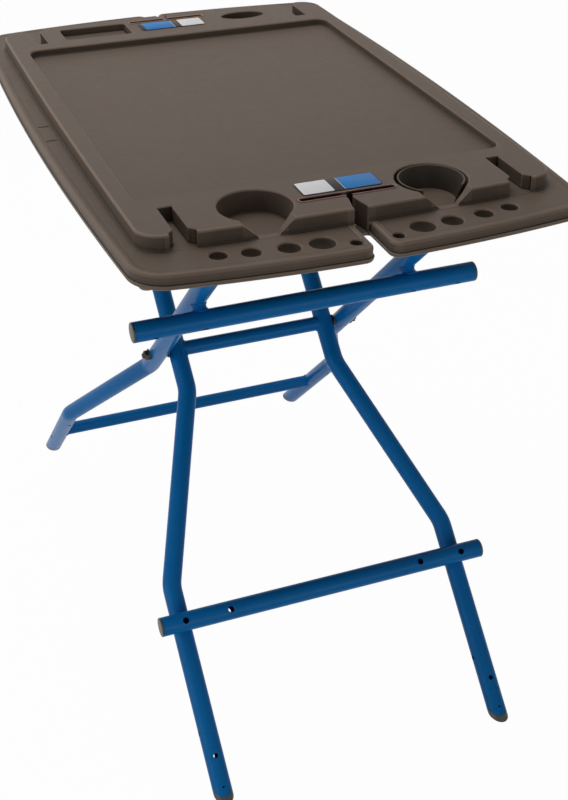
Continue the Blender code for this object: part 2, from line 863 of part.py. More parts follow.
front_pieces = []
rear_pieces = []
sideways = Vector((1, 0, 0))
for side in (-1, 1):
    leg = build_leg(side_name("front_leg", side), side, front_half_top, front_half_foot,
                    front_up, hinge_along + hinge_end)
    cut(leg, bore_cutter(side_name("front_rod_guide", side), 0, front_up,
                         rod_radius + seat_gap, side, front_half_top))
    cut(leg, bore_cutter(side_name("hinge_bore_guide", side), hinge_along, front_up,
                         pin_radius + running_fit, side, front_half_top))
    for stem, height, direction, width in (
            ("front_hole_guide", front_leg_hole_height, front_face, leg_hole),
            ("front_side_hole_guide", front_leg_side_hole_height, sideways, leg_hole),
            ("front_rivet_guide", rivet_hole_height, front_face, rivet_hole)):
        cut(leg, leg_drill(side_name(stem, side), side, front_half_foot, front_up, height,
                           direction, width))
    front_pieces.append(leg)
    front_pieces.append(build_foot(side_name("front_foot", side), side,
                                   front_half_foot, front_up))
    leg = build_leg(side_name("rear_leg", side), side, rear_half_top, rear_half_foot,
                    rear_up, rear_leg_above)
    cut(leg, bore_cutter(side_name("rear_rod_guide", side), 0, rear_up,
                         rod_radius + running_fit, side, rear_half_top))
    for stem, height, direction in (
            ("rear_hole_guide", rear_leg_hole_height, rear_under),
            ("rear_side_hole_guide", rear_leg_side_hole_height, sideways)):
        cut(leg, leg_drill(side_name(stem, side), side, rear_half_foot, rear_up, height,
                           direction, leg_hole))
    rear_pieces.append(leg)
    rear_pieces.append(build_foot(side_name("rear_foot", side), side,
                                  rear_half_foot, rear_up))


def build_bar(name, half, centre, radius):
    """Straight tube across the bench."""
    reach = Vector((half, 0, 0))
    return tube_between(name, centre - reach, centre + reach, radius)


def tube_between(name, start, end, radius):
    builder = bmesh.new()
    rings = {}
    for key, centre in (("start", start), ("end", end)):
        for wall, sides in ((0, tube_sides), (tube_wall, bore_sides)):
            ring = ellipse(0, 0, radius - wall, radius - wall, sides)
            rings[key, wall] = [builder.verts.new(centre + Vector((0, y, z)))
                                for y, z in ring]
    for wall in (0, tube_wall):
        low = rings["start", wall]
        high = rings["end", wall]
        for index in range(len(low)):
            after = (index + 1) % len(low)
            builder.faces.new((low[index], low[after], high[after], high[index]))
    for key in ("start", "end"):
        edges = []
        for wall in (0, tube_wall):
            ring = rings[key, wall]
            for index, vertex in enumerate(ring):
                pair = (vertex, ring[(index + 1) % len(ring)])
                edges.append(builder.edges.get(pair))
        bmesh.ops.triangle_fill(builder, edges=edges, use_beauty=True,
                                use_dissolve=False)
    return make_object(name, builder, blue_steel, smooth=True)


def build_plug(name, side, half, centre, radius):
    """Plastic end plug: a disc over the tube's end and a stem inside it."""
    bore = (radius - tube_wall) * math.cos(math.pi / bore_sides) - seat_gap
    levels = ((half - plug_stem, bore - 0.5 * plug_round),
              (half - plug_stem + plug_round, bore),
              (half + seat_gap, bore), (half + seat_gap, radius),
              (half + plug_head - plug_round, radius),
              (half + plug_head - 0.3 * plug_round, radius - 0.3 * plug_round),
              (half + plug_head, radius - plug_round))
    rings = []
    for x, size in levels:
        ring = ellipse(0, 0, size, size, tube_sides)
        rings.append([centre + Vector((side * x, y, z)) for y, z in ring])
    return loft(name, rings, dark_plastic, smooth=True)


# Lower crossbar, welded across the front of the front legs
bar_offset = tube_diameter + seat_gap
front_bar_along = (front_crossbar_height - bar_offset * math.sin(lean)
                   - pivot_height) / math.cos(lean)
front_bar_centre = pivot + front_up * front_bar_along + front_face * bar_offset
front_crossbar = build_bar("front_crossbar", front_crossbar_half, front_bar_centre, tube_radius)
drill_bar(front_crossbar, front_bar_centre, front_face, front_half_foot)
for side in (-1, 1):
    front_pieces.append(build_plug(side_name("front_crossbar_plug", side), side,
                                   front_crossbar_half, front_bar_centre, tube_radius))
front_pieces.append(front_crossbar)

# Spreader between the front legs, on the pivot axis
spreader = build_bar("front_spreader", front_half_top - cope_depth, pivot, bar_radius)
for side in (-1, 1):
    centre = pivot + Vector((side * front_half_top, 0, 0))
    cut(spreader, seat_cutter(side_name("spreader_end_guide", side),
                              centre - front_up * overrun, centre + front_up * overrun,
                              tube_radius))
front_pieces.append(spreader)

# Rear crossbar, in the plane of the rear legs near their feet
rear_bar_along = (rear_crossbar_height - pivot_height) / math.cos(lean)
rear_bar_centre = pivot + rear_up * rear_bar_along
rear_crossbar = build_bar("rear_crossbar", rear_half_foot - cope_depth, rear_bar_centre,
                          bar_radius)
for side in (-1, 1):
    centre = rear_bar_centre + Vector((side * rear_half_foot, 0, 0))
    cut(rear_crossbar, seat_cutter(side_name("rear_bar_end_guide", side),
                                   centre - rear_up * overrun, centre + rear_up * overrun,
                                   tube_radius))
rear_pieces.append(rear_crossbar)

# Top crossbar, held off the upper ends of the rear legs by two short round lugs
top_bar_along = (underside - top_crossbar_below - pivot_height) / math.cos(lean)
top_bar_offset = rear_under * (bar_offset + top_crossbar_standoff)
top_bar_centre = pivot + rear_up * top_bar_along + top_bar_offset
top_crossbar = build_bar("top_crossbar", top_crossbar_half, top_bar_centre, tube_radius)
drill_bar(top_crossbar, top_bar_centre, rear_under, rear_half_top)
rear_pieces.append(top_crossbar)
for side in (-1, 1):
    rear_pieces.append(build_plug(side_name("top_crossbar_plug", side), side,
                                  top_crossbar_half, top_bar_centre, tube_radius))
    at_lug = Vector((side * rear_half_top, 0, 0))
    bar_at_lug = top_bar_centre + at_lug
    leg_at_lug = bar_at_lug - top_bar_offset
    lug = rod(side_name("crossbar_lug", side), leg_at_lug, bar_at_lug, lug_diameter / 2,
              tube_sides, blue_steel)
    reach = Vector((overrun, 0, 0))
    cut(lug, seat_cutter(side_name("lug_bar_guide", side), bar_at_lug - reach,
                         bar_at_lug + reach, tube_radius))
    cut(lug, seat_cutter(side_name("lug_leg_guide", side), leg_at_lug - rear_up * overrun,
                         leg_at_lug + rear_up * overrun, tube_radius))
    rear_pieces.append(lug)

# Pivot: a rod through both frames, with spacers, washers and nuts
spacer_start = front_half_top + tube_radius
nut_start = rear_half_top + tube_radius


def build_ring(name, side, start, thickness, outer, inner):
    """Flat ring on the pivot axis."""
    builder = bmesh.new()
    edges = []
    for radius in (outer, inner):
        ring = [builder.verts.new(pivot + Vector((side * start, y, z)))
                for y, z in ellipse(0, 0, radius, radius, tube_sides)]
        for index, vertex in enumerate(ring):
            after = ring[(index + 1) % len(ring)]
            edges.append(builder.edges.new((vertex, after)))
    filled = bmesh.ops.triangle_fill(builder, edges=edges, use_beauty=True,
                                     use_dissolve=False)
    faces = [part for part in filled["geom"] if isinstance(part, bmesh.types.BMFace)]
    grown = bmesh.ops.extrude_face_region(builder, geom=faces)
    moved = [part for part in grown["geom"] if isinstance(part, bmesh.types.BMVert)]
    bmesh.ops.translate(builder, verts=moved, vec=(side * thickness, 0, 0))
    return make_object(name, builder, black_steel, smooth=True)


def build_nut(name, side, start):
    """Six-sided nut with a round bore."""
    radius = nut_across / 2 / math.cos(math.pi / 6)
    rings = []
    stop = start + nut_thickness
    for x, size in ((start, radius - nut_chamfer), (start + nut_chamfer, radius),
                    (stop - nut_chamfer, radius), (stop, radius - nut_chamfer)):
        ring = ellipse(0, 0, size, size, 6)
        rings.append([pivot + Vector((side * x, y, z)) for y, z in ring])
    nut = loft(name, rings, black_steel)
    reach = Vector((side * tube_diameter, 0, 0))
    middle = pivot + Vector((side * start, 0, 0))
    cut(nut, rod(name + "_bore_guide", middle - reach, middle + reach,
                 rod_radius + seat_gap, pin_sides))
    return nut


for side in (-1, 1):
    front_pieces.append(build_ring(side_name("pivot_spacer", side), side,
                                   spacer_start + seat_gap,
                                   frame_side_gap - 2 * seat_gap, washer_radius,
                                   rod_radius + seat_gap))
    front_pieces.append(build_ring(side_name("pivot_washer", side), side,
                                   nut_start + seat_gap, washer_thickness, washer_radius,
                                   rod_radius + seat_gap))
    front_pieces.append(build_nut(side_name("pivot_nut", side), side,
                                  nut_start + washer_thickness + 2 * seat_gap))
rod_half = nut_start + washer_thickness + nut_thickness + rod_end
reach = Vector((rod_half, 0, 0))
front_pieces.append(rod("pivot_rod", pivot - reach, pivot + reach, rod_radius, pin_sides,
                        black_steel))


# Hinge brackets under the far end of the top, each with its pin
def build_bracket(side):
    """Channel of folded steel: a plate under the top and two cheeks on the leg."""
    inner = tube_radius + bracket_side_gap
    outer = inner + bracket_plate
    plate_top = underside - seat_gap
    x = side * front_half_top
    centre_y = hinge.y - table_y
    bracket = prism(side_name("hinge_bracket", side),
                    rectangle(x, centre_y, outer + bracket_lip, bracket_half_length,
                              bracket_corner),
                    plate_top - bracket_plate, plate_top, black_steel)
    cheek_top = hinge_drop - seat_gap - bracket_plate / 2
    for index, inward in enumerate((-1, 1)):
        rings = []
        for offset in (inner, outer):
            ring = [(-bracket_round, cheek_top), (bracket_round, cheek_top)]
            ring += arc((0, 0), bracket_round, 0, -math.pi, 2 * arc_steps)
            rings.append([(x + inward * offset, hinge.y + y, hinge.z + z)
                          for y, z in ring])
        cheek = loft(side_name("cheek_guide_%d" % index, side), rings)
        combine(bracket, cheek, "UNION")
    middle = Vector((x, hinge.y, hinge.z))
    reach = Vector((tube_diameter, 0, 0))
    cut(bracket, rod(side_name("bracket_bore_guide", side), middle - reach, middle + reach,
                     pin_radius + seat_gap, pin_sides))
    pin_half = outer + pin_proud
    pin = rod(side_name("hinge_pin", side), (x - pin_half, hinge.y, hinge.z),
              (x + pin_half, hinge.y, hinge.z), pin_radius, pin_sides, black_steel)
    return bracket, pin


def build_socket(side):
    """Block under the near end of the top that the rear leg's end bears on.

    Its channel is open towards the far end, the way the leg swings out.
    """
    leg_end = pivot + rear_up * rear_leg_above
    x = side * rear_half_top
    y = leg_end.y - table_y - socket_below / 2
    socket = prism(side_name("leg_socket", side),
                   rectangle(x, y, socket_half_width, socket_half_length, socket_corner),
                   leg_end.z - socket_below, underside - seat_gap, dark_plastic)
    radius = tube_radius + socket_fit
    channel = []
    for along in (rear_leg_above - overrun, rear_leg_above + seat_gap):
        centre = pivot + rear_up * along + Vector((x, 0, 0))
        outline = [centre + Vector((across, 0, 0)) + rear_under * under
                   for across, under in arc((0, 0), radius, 0, math.pi, 2 * arc_steps)]
        outline.append(centre + Vector((-radius, 0, 0)) - rear_under * overrun)
        outline.append(centre + Vector((radius, 0, 0)) - rear_under * overrun)
        channel.append(outline)
    cut(socket, loft(side_name("socket_guide", side), channel))
    return socket


def add_screws(stem, side, places, plate_low, carrier):
    """Screws up through a carrier into the moulding, with their clearance holes."""
    tip = underside + screw_length
    for index, (x, y) in enumerate(places):
        name = side_name("%s_screw_%d" % (stem, index + 1), side)
        seat = plate_low - seat_gap
        head_low = seat - screw_head_height
        rings = [level(ellipse(side * x, y, radius, radius, small_sides), height)
                 for radius, height in ((screw_head - screw_head_round, head_low),
                                        (screw_head, head_low + screw_head_round),
                                        (screw_head, seat),
                                        (screw_radius, seat),
                                        (screw_radius, tip))]
        worktop_pieces.append(loft(name, rings, black_steel, smooth=True))
        bore = screw_radius + seat_gap
        hole = ellipse(side * x, y, bore, bore, small_sides)
        cut(carrier, prism(name + "_plate_guide", hole, plate_low - screw_length, underside))
        cut(worktop, prism(name + "_hole_guide", hole, underside - cut_over, tip + cut_over))


for side in (-1, 1):
    bracket, pin = build_bracket(side)
    hinge_y = hinge.y - table_y
    add_screws("bracket", side,
               [(front_half_top, hinge_y - bracket_screw_offset),
                (front_half_top, hinge_y + bracket_screw_offset)],
               underside - seat_gap - bracket_plate, bracket)
    socket = build_socket(side)
    socket_end = pivot + rear_up * rear_leg_above
    socket_y = socket_end.y - table_y - socket_below / 2
    add_screws("socket", side,
               [(rear_half_top - socket_screw_offset, socket_y),
                (rear_half_top + socket_screw_offset, socket_y)],
               socket_end.z - socket_below, socket)
    worktop_pieces += [bracket, pin, socket]

hang_on(rear_axis, *rear_pieces)
hang_on(top_axis, *worktop_pieces)
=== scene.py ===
"""Looks of the folding workbench: moulded top on two crossed frames of blue tube."""
import math

import bmesh
import bpy
import numpy as np
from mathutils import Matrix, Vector


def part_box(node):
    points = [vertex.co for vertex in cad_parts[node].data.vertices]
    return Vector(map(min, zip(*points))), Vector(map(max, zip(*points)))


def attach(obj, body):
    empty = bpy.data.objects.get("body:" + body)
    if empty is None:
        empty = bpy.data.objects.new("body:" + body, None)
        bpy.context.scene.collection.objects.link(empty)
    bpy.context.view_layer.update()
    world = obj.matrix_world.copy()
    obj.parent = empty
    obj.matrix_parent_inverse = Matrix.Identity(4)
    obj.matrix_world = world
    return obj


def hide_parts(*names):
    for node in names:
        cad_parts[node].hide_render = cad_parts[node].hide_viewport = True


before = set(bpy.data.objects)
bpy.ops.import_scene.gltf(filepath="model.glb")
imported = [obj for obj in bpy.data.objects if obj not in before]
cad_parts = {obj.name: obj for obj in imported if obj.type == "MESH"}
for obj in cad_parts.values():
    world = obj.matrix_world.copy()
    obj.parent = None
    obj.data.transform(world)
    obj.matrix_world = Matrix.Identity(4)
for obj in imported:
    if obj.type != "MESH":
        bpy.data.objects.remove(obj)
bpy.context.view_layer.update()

# Camera and studio. The bench stands on a pale floor under one broad soft lamp, with
# fainter ones low at its left and near side. The camera's place is measured from the
# middle of the top, at floor level.
top_low, top_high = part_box("worktop")
table_y = (top_low.y + top_high.y) / 2
camera_offset = Vector((-0.69226, -1.99138, 1.69771))
camera_yaw = 0.36512
camera_pitch = 0.56386
camera_lens = 60.472
sensor_width = 36.0
floor_half = 9.0
floor_color = (0.86, 0.86, 0.86, 1.0)
floor_glow = 0.98
paper_white = (1.0, 1.0, 1.0, 1.0)
sky_strength = 0.065

camera = bpy.data.objects.new("camera", bpy.data.cameras.new("camera"))
camera.data.lens = camera_lens
camera.data.sensor_width = sensor_width
camera.location = camera_offset + Vector((0, table_y, 0))
camera.rotation_euler = (math.pi / 2 - camera_pitch, 0, -camera_yaw)
bpy.context.scene.collection.objects.link(camera)
bpy.context.scene.camera = camera
bpy.context.scene.view_settings.view_transform = "Standard"


class Signal:
    """A socket on which arithmetic adds Math nodes to its finish."""

    def __init__(self, finish, socket):
        self.finish = finish
        self.socket = socket

    def math(self, operation, *values):
        """Result of a Math node's operation on this socket and some values."""
        inputs = dict(enumerate((self, *values)))
        return self.finish.make("Math", {"operation": operation}, inputs)

    def __add__(self, other):
        return self.math("ADD", other)

    __radd__ = __add__

    def __mul__(self, other):
        return self.math("MULTIPLY", other)

    __rmul__ = __mul__

    def __sub__(self, other):
        return self.math("SUBTRACT", other)

    def __rsub__(self, other):
        return self * -1.0 + other

    def __truediv__(self, other):
        return self.math("DIVIDE", other)

    def __gt__(self, other):
        return self.math("GREATER_THAN", other)

    def __abs__(self):
        return self.math("ABSOLUTE")

    def clamp(self):
        """The same signal, held between 0 and 1."""
        return self.math("MAXIMUM", 0.0).math("MINIMUM", 1.0)


class Finish:
    """A surface finish: one Principled shader and the nodes that feed it."""

    def __init__(self, name, slot=None, tree=None):
        if tree is None:
            self.material = bpy.data.materials.new(name)
            self.material.use_nodes = True
            tree = self.material.node_tree
        self.slot = slot
        self.tree = tree

    def make(self, kind, settings=None, inputs=None, output=0):
        """Adds a node of a kind, sets it up, feeds its sockets, and returns one output."""
        node = self.tree.nodes.new("ShaderNode" + kind)
        for key, value in (settings or {}).items():
            setattr(node, key, value)
        for key, value in (inputs or {}).items():
            self.feed(node.inputs[key], value)
        return Signal(self, node.outputs[output])

    def feed(self, socket, value):
        """Links a signal to a socket, or sets the socket to a constant."""
        if isinstance(value, Signal):
            self.tree.links.new(value.socket, socket)
        else:
            socket.default_value = value

    def shade(self, **sockets):
        """Feeds the Principled shader; an underscore stands for a space."""
        shader = self.tree.nodes["Principled BSDF"]
        for key, value in sockets.items():
            self.feed(shader.inputs[key.replace("_", " ")], value)

    def place(self):
        """Place on the piece, in metres on its own axes."""
        return self.make("TexCoord", output="Object")

    def along(self, axis):
        """Place along X, Y or Z, by the number 0, 1 or 2."""
        return self.make("SeparateXYZ", None, {0: self.place()}, axis)

    def noise(self, scale, detail=2.0, roughness=0.5):
        """Cloudy pattern from 0 to 1, with scale features in a metre."""
        return self.make("TexNoise", None, {"Vector": self.place(), "Scale": scale,
                                            "Detail": detail, "Roughness": roughness})

    def mix(self, share, low, high):
        """Colour between low and high by a share from 0 to 1."""
        return self.make("Mix", {"data_type": "RGBA"}, {"Factor": share, 6: low, 7: high}, 2)

    def bump(self, height, distance, strength):
        """Normal of a relief whose depth is the height times a distance in metres."""
        return self.make("Bump", None, {"Height": height, "Distance": distance,
                                        "Strength": strength})

    def seen(self):
        """1 for rays from the camera, also by way of gloss or glass, and 0 for others."""
        direct, glossy, passed = (self.make("LightPath", output=f"Is {ray} Ray")
                                  for ray in ("Camera", "Glossy", "Transmission"))
        return (direct + glossy + passed).clamp()


for name, place, aim, size, power in (
        ("overhead_lamp", (-0.5, 0.9, 3.6), (0, 0, 0.6), 2.4, 52.0),
        ("left_lamp", (-3.4, -0.6, 0.9), (0, 0, 0.5), 2.2, 24.0),
        ("near_lamp", (0.8, -3.6, 0.7), (0, 0, 0.4), 1.8, 20.0)):
    lamp = bpy.data.lights.new(name, "AREA")
    lamp.size = size
    lamp.energy = power
    item = bpy.data.objects.new(name, lamp)
    item.location = place
    item.rotation_euler = (Vector(aim) - Vector(place)).to_track_quat("-Z", "Y").to_euler()
    bpy.context.scene.collection.objects.link(item)

floor_mesh = bpy.data.meshes.new("floor")
floor_corners = [(x * floor_half, y * floor_half, 0) for x, y in
                 ((-1, -1), (1, -1), (1, 1), (-1, 1))]
floor_mesh.from_pydata(floor_corners, [], [(0, 1, 2, 3)])
floor = bpy.data.objects.new("floor", floor_mesh)
bpy.context.scene.collection.objects.link(floor)
paper = Finish("studio_paper")
paper.shade(Base_Color=floor_color, Roughness=0.9)
glow = paper.make("Emission", None, {"Color": paper_white, "Strength": 1.0})
body = Signal(paper, paper.tree.nodes["Principled BSDF"].outputs[0])
paper_look = paper.make("MixShader", None, {0: paper.seen() * floor_glow, 1: body, 2: glow})
paper.feed(paper.tree.nodes["Material Output"].inputs["Surface"], paper_look)
floor_mesh.materials.append(paper.material)

world = bpy.data.worlds.new("studio")
world.use_nodes = True
bpy.context.scene.world = world
sky = Finish("studio", tree=world.node_tree)
sky_light = sky.tree.nodes["Background"]
sky.feed(sky_light.inputs["Color"], paper_white)
sky.feed(sky_light.inputs["Strength"], sky.seen() * (1.0 - sky_strength) + sky_strength)

# Moulded top. One piece of brown-grey plastic with a fine matt grain: a flange with a
# rolled rim, and on it a raised deck with a tray, wells, slots and holes. It is made in
# one mould, so every outer edge is rounded and every wall leans a little.
deck_height = top_high.z
flange_top = deck_height - 0.022
underside = flange_top - 0.022
flange_half = np.array([top_high.x, 0.555])
flange_bows = (0.018, 0.026)
flange_corner = 0.055
side_shelf = 0.038
end_shelf = 0.081
deck_half = flange_half - (side_shelf, end_shelf)
deck_bows = (0.005, 0.012)
deck_corner = 0.036
tray_half = np.array([0.2813, 0.3464])
tray_corner = 0.020
tray_floor = deck_height - 0.012
# Rounded rectangles are (x, y, half x, half y, corner), and ovals have no corner
parts_tray = (-0.1415, 0.415, 0.061, 0.031, 0.007)
parts_floor = deck_height - 0.012
oval_well = (0.144, 0.419, 0.0415, 0.021)
oval_floor = deck_height - 0.016
cup_x = 0.1318
cup_y = -0.4155
cup_radius = 0.0525
cup_floor = deck_height - 0.032
mouth_half_top = 0.0356
mouth_half_floor = 0.0135
tool_slot_x = 0.248
tool_slot_half = 0.010
tool_slot_inner = 0.378
tool_slot_flare = 0.009
tee_y = {-1: 0.4245, 1: 0.4425}
tee_half = (0.0735, 0.00725)
tee_corner = 0.0065
tee_floor = deck_height - 0.028
channel_floor = deck_height - 0.038
channel_half = 0.0045
channel_mouth_half = 0.0102
notch_half = 0.0105
notch_corner = 0.003
lobe_corner = 0.016
tool_hole_places = ((0.0305, 0.5280, 0.0085), (0.0730, 0.5135, 0.0180),
                    (0.1186, 0.5110, 0.0155), (0.1695, 0.5060, 0.0135),
                    (0.2127, 0.4995, 0.01225))
slit_x, slit_y, *slit_rest = (0.3255, 0.031, 0.008, 0.0015, 0.0012)
slit_floor = flange_top - 0.007
block_x, *block_rest = (0.290, -0.445, 0.026, 0.045, 0.012)
block_depth = 0.0135
block_round = 0.006
clear = 0.0006
across = np.array([1.0, 0.0, 0.0])
upright = (0, 0, 1)


def quarter(count):
    """Sine and cosine of count angles from 0 to 90 degrees."""
    turn = np.linspace(0, math.pi / 2, count)
    return np.sin(turn), np.cos(turn)


def arc_points(centre, radius, start, stop, count):
    """Points on a circle from one angle up to, but without, another."""
    turn = np.linspace(start, stop, count)[:-1]
    return centre + radius * np.stack([np.cos(turn), np.sin(turn)], axis=1)


def bowed_plan(half, bows, corner, inset, notch=None):
    """Closed outline of four wide arcs with tangent corner arcs.

    A wide arc's radius is (chord squared + bow squared) / (2 bow). The corner arc's
    centre lies at radius minus corner from both wide centres. The inset shortens every
    radius, which keeps the outline parallel. A notch is (half width, inner y, inner
    corner, lobe radius), and its lobe arc is tangent to the end arc and to its side.
    """
    side_bow, end_bow = bows
    chord = half - bows
    side_radius = (chord[1] ** 2 + side_bow ** 2) / (2 * side_bow)
    end_radius = (chord[0] ** 2 + end_bow ** 2) / (2 * end_bow)
    side_centre = np.array([half[0] - side_radius, 0.0])
    end_centre = np.array([0.0, half[1] - end_radius])
    gap = np.linalg.norm(end_centre - side_centre)
    reach = side_radius - corner
    along = (reach ** 2 - (end_radius - corner) ** 2 + gap ** 2) / (2 * gap)
    height = math.sqrt(reach ** 2 - along ** 2)
    way = (end_centre - side_centre) / gap
    corner_centre = side_centre + way * along + np.array([-way[1], way[0]]) * height
    first = math.atan2(corner_centre[1], corner_centre[0] - side_centre[0])
    second = math.atan2(corner_centre[1] - end_centre[1], corner_centre[0])
    arcs = [arc_points(side_centre, side_radius - inset, 0.0, first, 16),
            arc_points(corner_centre, corner - inset, first, second, 14)]
    if notch is None:
        arcs += [arc_points(end_centre, end_radius - inset, second, math.pi / 2, 14),
                 [[0.0, half[1] - inset]]]
    else:
        notch_side, inner, inner_corner, lobe = notch
        lobe_x = notch_side + lobe
        lobe_y = end_centre[1] + math.sqrt((end_radius - lobe) ** 2 - lobe_x ** 2)
        third = math.atan2(lobe_y - end_centre[1], lobe_x)
        inner_centre = np.array([notch_side - inner_corner, inner + inner_corner])
        arcs += [arc_points(end_centre, end_radius - inset, second, third, 14),
                 arc_points(np.array([lobe_x, lobe_y]), lobe - inset, third, math.pi, 12),
                 [[notch_side + inset, lobe_y]],
                 arc_points(inner_centre, inner_corner + inset, 0.0, -math.pi / 2, 6),
                 [[notch_side - inner_corner, inner - inset]]]
    one = np.concatenate(arcs)
    mirrored = one[::-1] * (-1, 1)
    if notch is None:
        mirrored = mirrored[1:]
    upper = np.concatenate([one, mirrored])[:-1]
    return np.concatenate([upper, -upper])


def cornered_plan(corners, radii, inset=0.0, steps=6):
    """Closed polygon, moved inwards by the inset, with an arc at each corner.

    A corner moves along the sum of its two edge normals. Its arc has the corner's
    radius less the inset where it turns outwards, and plus the inset where inwards.
    """
    points = np.array(corners, float)
    ahead = np.roll(points, -1, axis=0) - points
    ahead /= np.linalg.norm(ahead, axis=1)[:, None]
    back = np.roll(ahead, 1, axis=0)
    normal = np.stack([ahead[:, 1], -ahead[:, 0]], axis=1)
    before = np.roll(normal, 1, axis=0)
    dot = (normal * before).sum(axis=1)
    points = points - inset * (normal + before) / (1 + dot)[:, None]
    way = np.sign(back[:, 0] * ahead[:, 1] - back[:, 1] * ahead[:, 0])
    radius = np.maximum(np.array(radii, float) - inset * way, 0.0002)
    turn = np.arccos(np.clip((back * ahead).sum(axis=1), -1, 1))
    start = points - back * (radius * np.tan(turn / 2))[:, None]
    centre = start - before * (radius * way)[:, None]
    angle = way[:, None] * turn[:, None] * np.linspace(0, 1, steps)
    arm = start - centre
    x = arm[:, :1] * np.cos(angle) - arm[:, 1:] * np.sin(angle)
    y = arm[:, :1] * np.sin(angle) + arm[:, 1:] * np.cos(angle)
    return (centre[:, None, :] + np.stack([x, y], axis=2)).reshape(-1, 2)


def boxed(x, y, half_x, half_y, corner, steps=6):
    """Plan of a rounded rectangle, as a function of its inset."""
    corners = [(x - half_x, y - half_y), (x + half_x, y - half_y),
               (x + half_x, y + half_y), (x - half_x, y + half_y)]
    return lambda inset=0.0: cornered_plan(corners, [corner] * 4, inset, steps)


def oval(x, y, radius_x, radius_y, count):
    """Plan of an ellipse, as a function of its inset."""
    turn = np.arange(count) * 2 * math.pi / count
    return lambda inset: np.stack([x + (radius_x - inset) * np.cos(turn),
                                   y + (radius_y - inset) * np.sin(turn)], axis=1)


def run_out(x, end, *rows):
    """Plan of a slot that runs out through the deck's end, as a function of its inset.

    Each row is (half width, place along, corner radius), from the slot's inner end on,
    and the slot's left side mirrors its right one.
    """
    right = np.array(rows)
    left = right * (-1, 1, 1)
    shape = np.concatenate([left[:1], right, left[:0:-1]])[::end]
    corners = shape[:, :2] * (1, end) + (x, 0)
    return lambda inset: cornered_plan(corners, shape[:, 2], inset)


def level(plan, height):
    """Ring of a plan's points at a height."""
    return np.column_stack([plan[:, 0], plan[:, 1] + table_y, np.full(len(plan), height)])


def skin(rings, closed=False):
    """Vertices and faces of a grid of rings: quads between rings, and flat end caps,
    or a join of the last ring to the first where the grid closes on itself."""
    rings = np.array(rings)
    count, sides = rings.shape[:2]
    row, column = np.meshgrid(np.arange(count if closed else count - 1), np.arange(sides),
                              indexing="ij")
    after_row = (row + 1) % count
    after = (column + 1) % sides
    quads = np.stack([row * sides + column, row * sides + after,
                      after_row * sides + after, after_row * sides + column], axis=2)
    faces = quads.reshape(-1, 4).tolist()
    if not closed:
        faces.append(list(range(sides))[::-1])
        faces.append(list(range((count - 1) * sides, count * sides)))
    return rings.reshape(-1, 3), faces


def stacked(plan, levels):
    """Skin over a plan(inset) at the (inset, height) pairs of a wall's profile."""
    return skin([level(plan(inset), height) for inset, height in levels])


def prism(plan, low, high):
    """Skin of a straight block: a plan's points at two heights."""
    return skin([level(plan, low), level(plan, high)])


def unit(vector):
    """Vector over its own length."""
    return vector / np.linalg.norm(vector)


def turned(profile, origin, axis, sides=40, closed=False):
    """Skin of a turned piece: rings of (along, radius) pairs about an axis."""
    axis = unit(np.array(axis, float))
    helper = across if abs(axis @ across) < 0.9 else np.array([0.0, 1.0, 0.0])
    side = unit(np.cross(axis, helper))
    third = np.cross(axis, side)
    turn = np.arange(sides) * 2 * math.pi / sides
    ring = np.cos(turn)[:, None] * side + np.sin(turn)[:, None] * third
    profile = np.array(profile, float)
    rings = origin + profile[:, :1, None] * axis + profile[:, 1:, None] * ring
    return skin(rings, closed)


def dowel(start, stop, radius, origin, axis, sides=32):
    """Skin of a straight round bar between two places on an axis."""
    return turned([(start, radius), (stop, radius)], origin, axis, sides)


def soften(item, angle=32.0):
    """Shades a piece smooth, apart from edges that fold by more than the angle."""
    item.data.shade_smooth()
    item.data.set_sharp_from_angle(angle=math.radians(angle))
    return item


def solid(name, *parts):
    """One mesh object from several skins, with its faces turned outwards."""
    points = []
    faces = []
    start = 0
    for vertices, quads in parts:
        points.append(vertices)
        faces += [[index + start for index in face] for face in quads]
        start += len(vertices)
    mesh = bpy.data.meshes.new(name)
    mesh.from_pydata(np.concatenate(points).tolist(), [], faces)
    builder = bmesh.new()
    builder.from_mesh(mesh)
    bmesh.ops.recalc_face_normals(builder, faces=builder.faces)
    builder.to_mesh(mesh)
    builder.free()
    item = bpy.data.objects.new(name, mesh)
    bpy.context.scene.collection.objects.link(item)
    return soften(item)


def carve(item, *parts, operation="DIFFERENCE"):
    """Cuts a piece for good with the solid of some skins, or with one ready solid."""
    ready = isinstance(parts[0], bpy.types.Object)
    cutter = parts[0] if ready else solid("cutter", *parts)
    step = item.modifiers.new("cut", "BOOLEAN")
    step.operation = operation
    step.solver = "EXACT"
    step.object = cutter
    done = item.evaluated_get(bpy.context.evaluated_depsgraph_get())
    mesh = bpy.data.meshes.new_from_object(done)
    item.modifiers.clear()
    item.data = mesh
    bpy.data.objects.remove(cutter)


def rim_round(radius, height):
    """Profile of a hollow's upper edge, which opens outwards as it rises."""
    sine, cosine = quarter(5)
    return [*zip(-radius * (1 - cosine[:-1]), height - radius + radius * sine[:-1]),
            (-radius, height + clear)]


def hollow(plan, low, high, floor_radius, rim_radius, draft=0.0):
    """Cutter for a hollow with a rounded floor edge and a rounded rim."""
    sine, cosine = quarter(5)
    floor_edge = zip(floor_radius * (1 - sine) + draft, low + floor_radius * (1 - cosine))
    return stacked(plan, [*floor_edge, *rim_round(rim_radius, high)])


def through(plan, low, high, round_low, round_high):
    """Cutter for a hole that goes right through, with both rims rounded."""
    sine, cosine = quarter(5)
    down = [*zip(-round_low * (1 - cosine[:-1]), low + round_low - round_low * sine[:-1])]
    return stacked(plan, [(-round_low, low - clear), *down[::-1],
                          *rim_round(round_high, high)])


def flange_plan(inset):
    """Outline of the flange with its two notches."""
    notch = (notch_half, deck_half[1] + 0.002, notch_corner, lobe_corner)
    return bowed_plan(flange_half, flange_bows, flange_corner, inset, notch)


